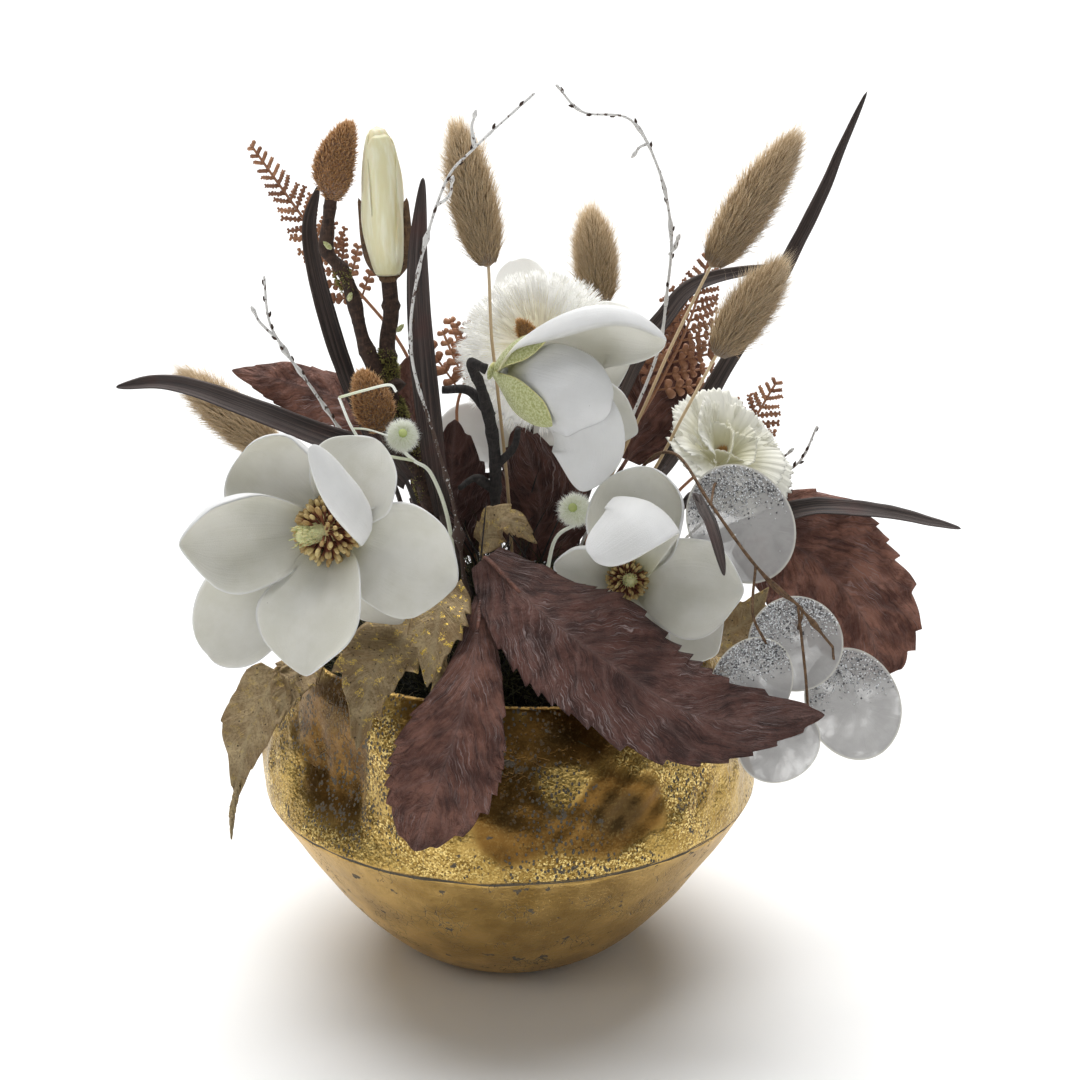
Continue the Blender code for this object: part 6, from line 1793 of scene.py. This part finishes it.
def bowl_skin(angle, share):
    """The bowl's outer skin: share 0 to 1 is the lower half, 1 to 2 the shoulder up to the rim.

    The lower half opens from the base to the belly and steepens as it rises. The shoulder leans in to the
    rim, pressed in by broad waves and by bell-shaped dimples, and the rim waves a little. Gives the points
    and how deep each is pressed in, from 0 to about 1.
    """
    low = np.minimum(share, 1)
    rise = np.maximum(share - 1, 0)
    radius = BOWL_BASE_RADIUS + (BOWL_BELLY_RADIUS - BOWL_BASE_RADIUS) * low
    radius = radius + (BOWL_RIM_RADIUS - BOWL_BELLY_RADIUS) * rise**1.9
    height = BOWL_BELLY_HEIGHT * low**1.54 + (BOWL_RIM_HEIGHT - BOWL_BELLY_HEIGHT) * rise
    shoulder = np.sin(math.pi * np.minimum(rise * 1.15, 1.0)) ** 1.2
    pressed = np.cos(3 * angle + 0.6) + 0.7 * np.cos(5 * angle - 1.1 + 2 * rise)
    depth = DENT_DEPTH * shoulder * np.maximum(pressed, -0.5)
    depth = depth + 0.6 * MM * patches_at(DIMPLES, angle, height)
    plain = around(radius, angle, height)
    creased = np.maximum(drift(plain, 0.034, 201), -0.4)
    depth = depth + 0.0011 * shoulder * creased + 0.00035 * shoulder * drift(plain, 0.011, 202)
    depth = depth + 0.00022 * drift(plain, 0.03, 203) * np.minimum(low * 2, 1) * (share > 0.05)
    radius = radius - depth + 0.6 * RIM_WAVE * rise * np.cos(4 * angle + 0.4)
    seam_at = share - 1 + 0.006 * drift(plain, 0.025, 204)
    radius = radius - 0.0005 * bump_at(seam_at, 0, 0.007)
    height = height + RIM_WAVE * rise**3 * np.cos(3 * angle - 0.8)
    return around(radius, angle, height), depth / (1.6 * DENT_DEPTH)


def build_bowl(finishes):
    """The beaten bowl: a flat base, the outer skin, a rolled rim, the inner skin and a flat floor."""
    shares = np.concatenate([np.linspace(0, 0.96, 44), np.linspace(0.965, 1.035, 15),
                             np.linspace(1.045, 2, 76)])
    angles = np.linspace(0, TAU, BOWL_CORNERS + 1)
    share, angle = np.meshgrid(shares, angles, indexing="ij")
    outer, dent = bowl_skin(angle, share)
    inner_share, inner_angle = np.meshgrid(np.linspace(2, 0, 46), angles, indexing="ij")
    inner, inner_dent = bowl_skin(inner_angle, inner_share)
    inner_radius = np.hypot(inner[..., 0], inner[..., 1])
    shrink = 1 - BOWL_WALL * 1.1 / inner_radius
    inner = inner * np.stack([shrink, shrink, 1 + 0 * shrink], -1)
    inner[..., 2] = np.maximum(inner[..., 2], BOWL_WALL)
    base = np.linspace(0, 1, 9)[:-1, None, None] * outer[:1] * [1, 1, 0]
    rim = (outer[-1:] + inner[:1]) / 2 + [0, 0, BOWL_WALL * 0.45]
    floor = np.linspace(1, 0, 9)[1:, None, None] * inner[-1:] * [1, 1, 0] + [0, 0, BOWL_WALL]
    points = np.concatenate([base, outer, rim, inner, floor])
    dents = np.concatenate([0 * base[..., 0], dent, 0 * rim[..., 0], inner_dent * 0.4, 0 * floor[..., 0]])
    reach_up = np.concatenate([0 * base[..., 0], share, 0 * rim[..., 0] + 2, inner_share, 0 * floor[..., 0]])
    shape = Shape()
    # The third mark: listed patches of painted dark reflection and shade, and painted highlights where below
    # zero.
    shade_and_highlight = patches_at(SHADE_AND_HIGHLIGHT_PATCHES, np.arctan2(points[..., 1], points[..., 0]), points[..., 2])
    shape.grid(points, np.stack([dents, reach_up, shade_and_highlight], -1))
    finer("bowl", shape, finishes["gold"], "gold")


def foam_places(rng, count, reach_out, sunk):
    """Chance places on the foam's top, even over a round of radius `reach_out`; also their radii."""
    radius = reach_out * np.sqrt(rng.random(count))
    place = around(radius, rng.uniform(0, TAU, count), 0 * radius)
    place[:, 2] = foam_top(place[:, 0], place[:, 1]) - sunk
    return place, radius


def build_moss(finishes):
    """Curly threads of moss on the foam, longer in its middle, and dark wiry stems that stand in it."""
    rng = np.random.default_rng(300)
    roots, radius = foam_places(rng, MOSS_THREADS, FOAM_SHOULDER_RADIUS, 0.0015)
    count = len(roots)
    middle = bump_at(radius, 0, 0.048)
    rise = rng.uniform(0.1, 1.6, count) + 1.2 * middle
    aims = unit(np.stack([rng.normal(0, 1, count), rng.normal(0, 1, count), rise], -1))
    lengths = rng.uniform(0.004, 0.013, count) * (1 + 1.5 * middle)
    bends = np.clip(rng.normal(0, 0.75, (count, 3)), -1.0, 1.0) - [0, 0, 0.35]
    shape = Shape()
    shape.spindles(roots, aims, lengths, rng.uniform(0.00016, 0.00036, count), THREAD, bends)
    piece("moss", shape, finishes["moss"], "foam")
    wires = Shape()
    roots, _ = foam_places(rng, DARK_WIRES, 0.046, 0.003)
    count = len(roots)
    aims = unit(np.stack([roots[:, 0] * 7, roots[:, 1] * 7, np.ones(count)], -1)
                + rng.normal(0, 0.20, (count, 3)))
    lengths = rng.uniform(0.024, 0.050, count)
    girths = rng.uniform(0.0003, 0.0007, count)
    wires.spindles(roots, aims, lengths, girths, WIRE, rng.normal(0, 0.22, (count, 3)), 5)
    piece("dark_wires", wires, finishes["black_bark"], "black_bark")


def finish_kept_nodes(finishes):
    """Finishes for the solids whose shape is kept."""
    kept = {
        "foam_block": "foam",
        "magnolia_front_left_stem": "brown_bark",
        "magnolia_right_stem": "brown_bark",
        "magnolia_rear_stem": "brown_bark",
        "feather_left_stem": "brown_bark",
        "feather_right_stem": "brown_bark",
    }
    for name, finish in kept.items():
        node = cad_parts[name]
        node.data.materials.clear()
        node.data.materials.append(finishes[finish])


# Stage


def build_stage():
    """A plain pale floor."""
    mesh = bpy.data.meshes.new("floor")
    corners = [(x * FLOOR_HALF, y * FLOOR_HALF, 0) for x, y in ((-1, -1), (1, -1), (1, 1), (-1, 1))]
    mesh.from_pydata(corners, [], [(0, 1, 2, 3)])
    floor = placed("floor", mesh)
    floor.location.z = -FLOOR_GAP
    pale = Finish("pale_floor", Roughness=0.9)
    mesh.materials.append(pale.set(Base_Color=(0.91, 0.91, 0.90)))


def build_camera():
    """The photograph's view: straight on, from a little above."""
    camera = placed("camera", bpy.data.cameras.new("camera"))
    camera.location = CAMERA_PLACE
    camera.rotation_euler = (math.radians(90 - CAMERA_TILT), 0, 0)
    camera.data.sensor_width = SENSOR
    camera.data.lens = SENSOR * FOCAL_PIXELS / FRAME_PIXELS
    camera.data.clip_start = 0.01
    bpy.context.scene.camera = camera


def soft_light(name, place, size, power, colour):
    """An oblong studio light that looks at the middle of the arrangement."""
    data = bpy.data.lights.new(name, "AREA")
    data.shape = "RECTANGLE"
    data.size, data.size_y = size
    data.energy = power
    data.color = colour
    light = placed(name, data)
    light.location = place
    light.rotation_euler = (Vector(place) - Vector((0, 0, 0.17))).to_track_quat("Z", "Y").to_euler()


def build_light():
    """A broad soft sky from above, a warm window at the upper left and a cooler one at the right."""
    world = bpy.data.worlds.new("studio")
    bpy.context.scene.world = world
    world.use_nodes = True
    background = world.node_tree.nodes["Background"]
    background.inputs["Color"].default_value = (0.95, 0.975, 1.0, 1)
    background.inputs["Strength"].default_value = 0.22
    overhead = bpy.data.lights.new("overhead", "SUN")
    overhead.energy = 4.20
    overhead.angle = math.radians(64)
    sky = placed("overhead", overhead)
    sky.rotation_euler = (math.radians(-23), math.radians(-4), 0)
    soft_light("key", (-0.75, -0.85, 1.05), (0.5, 0.5), 1.6, (1.0, 0.98, 0.94))
    soft_light("fill", (1.15, -0.75, 0.70), (0.4, 0.7), 0.7, (0.90, 0.95, 1.0))
    bpy.context.scene.view_settings.view_transform = "Standard"


def main():
    """Builds the stage and then every piece."""
    finishes = {
        "petal": petal_finish(),
        "stamen": stamen_finish(),
        "pistil": pistil_finish(),
        "sepal": sepal_finish(),
        "feather_left": glowing_feather_finish("feather_left", (0.88, 0.84, 0.67), (0.975, 0.97, 0.94),
                                       (11.5, 11, 242)),
        "feather_right": glowing_feather_finish("feather_right", (0.57, 0.55, 0.38), (0.77, 0.76, 0.68),
                                        (80, 0, 199)),
        "cone": fur_finish("cone", (0.27, 0.115, 0.025), (0.52, 0.260, 0.070), (0.76, 0.48, 0.20)),
        "fur": fur_finish("bud_fur", (0.17, 0.066, 0.018), (0.44, 0.205, 0.064), (0.84, 0.52, 0.23)),
        "tail": fur_finish("grass_tail", (0.23, 0.138, 0.062), (0.54, 0.375, 0.198), (0.90, 0.730, 0.485)),
        "black_bark": bark_finish("black_bark", (0.008, 0.007, 0.007), (0.035, 0.029, 0.027),
                                  (0.09, 0.075, 0.07)),
        "brown_bark": bark_finish("brown_bark", (0.016, 0.008, 0.006), (0.075, 0.040, 0.026),
                                  (0.20, 0.135, 0.100)),
        "wiry": bark_finish("wiry_stem", (0.05, 0.025, 0.012), (0.17, 0.095, 0.045), (0.42, 0.34, 0.22)),
        "cream_bud": cream_bud_finish(),
        "dark_blade": blade_finish(),
        "burgundy": burgundy_finish(),
        "gilded": gilded_finish(),
        "white_twig": white_twig_finish(),
        "fern": fern_finish(),
        "disc": disc_finish(),
        "glitter": glitter_finish(),
        "pompom": glowing_feather_finish("pompom", (0.60, 0.64, 0.44), (0.94, 0.95, 0.90)),
        "lime": fur_finish("lime_eye", (0.25, 0.33, 0.05), (0.42, 0.52, 0.12), (0.62, 0.68, 0.30)),
        "gold": gold_finish(),
        "moss": moss_finish(),
        "foam": foam_finish(),
        "olive_moss": olive_moss_finish(),
    }
    build_camera()
    build_light()
    build_stage()
    builders = (
        build_bowl, build_moss, build_magnolias, build_feather_flowers, build_buds,
        build_blades, build_burgundy_leaves, build_gold_leaves, build_twigs, build_ferns,
        build_tails, build_honesty, build_pompoms, finish_kept_nodes,
    )
    for build in builders:
        build(finishes)


main()
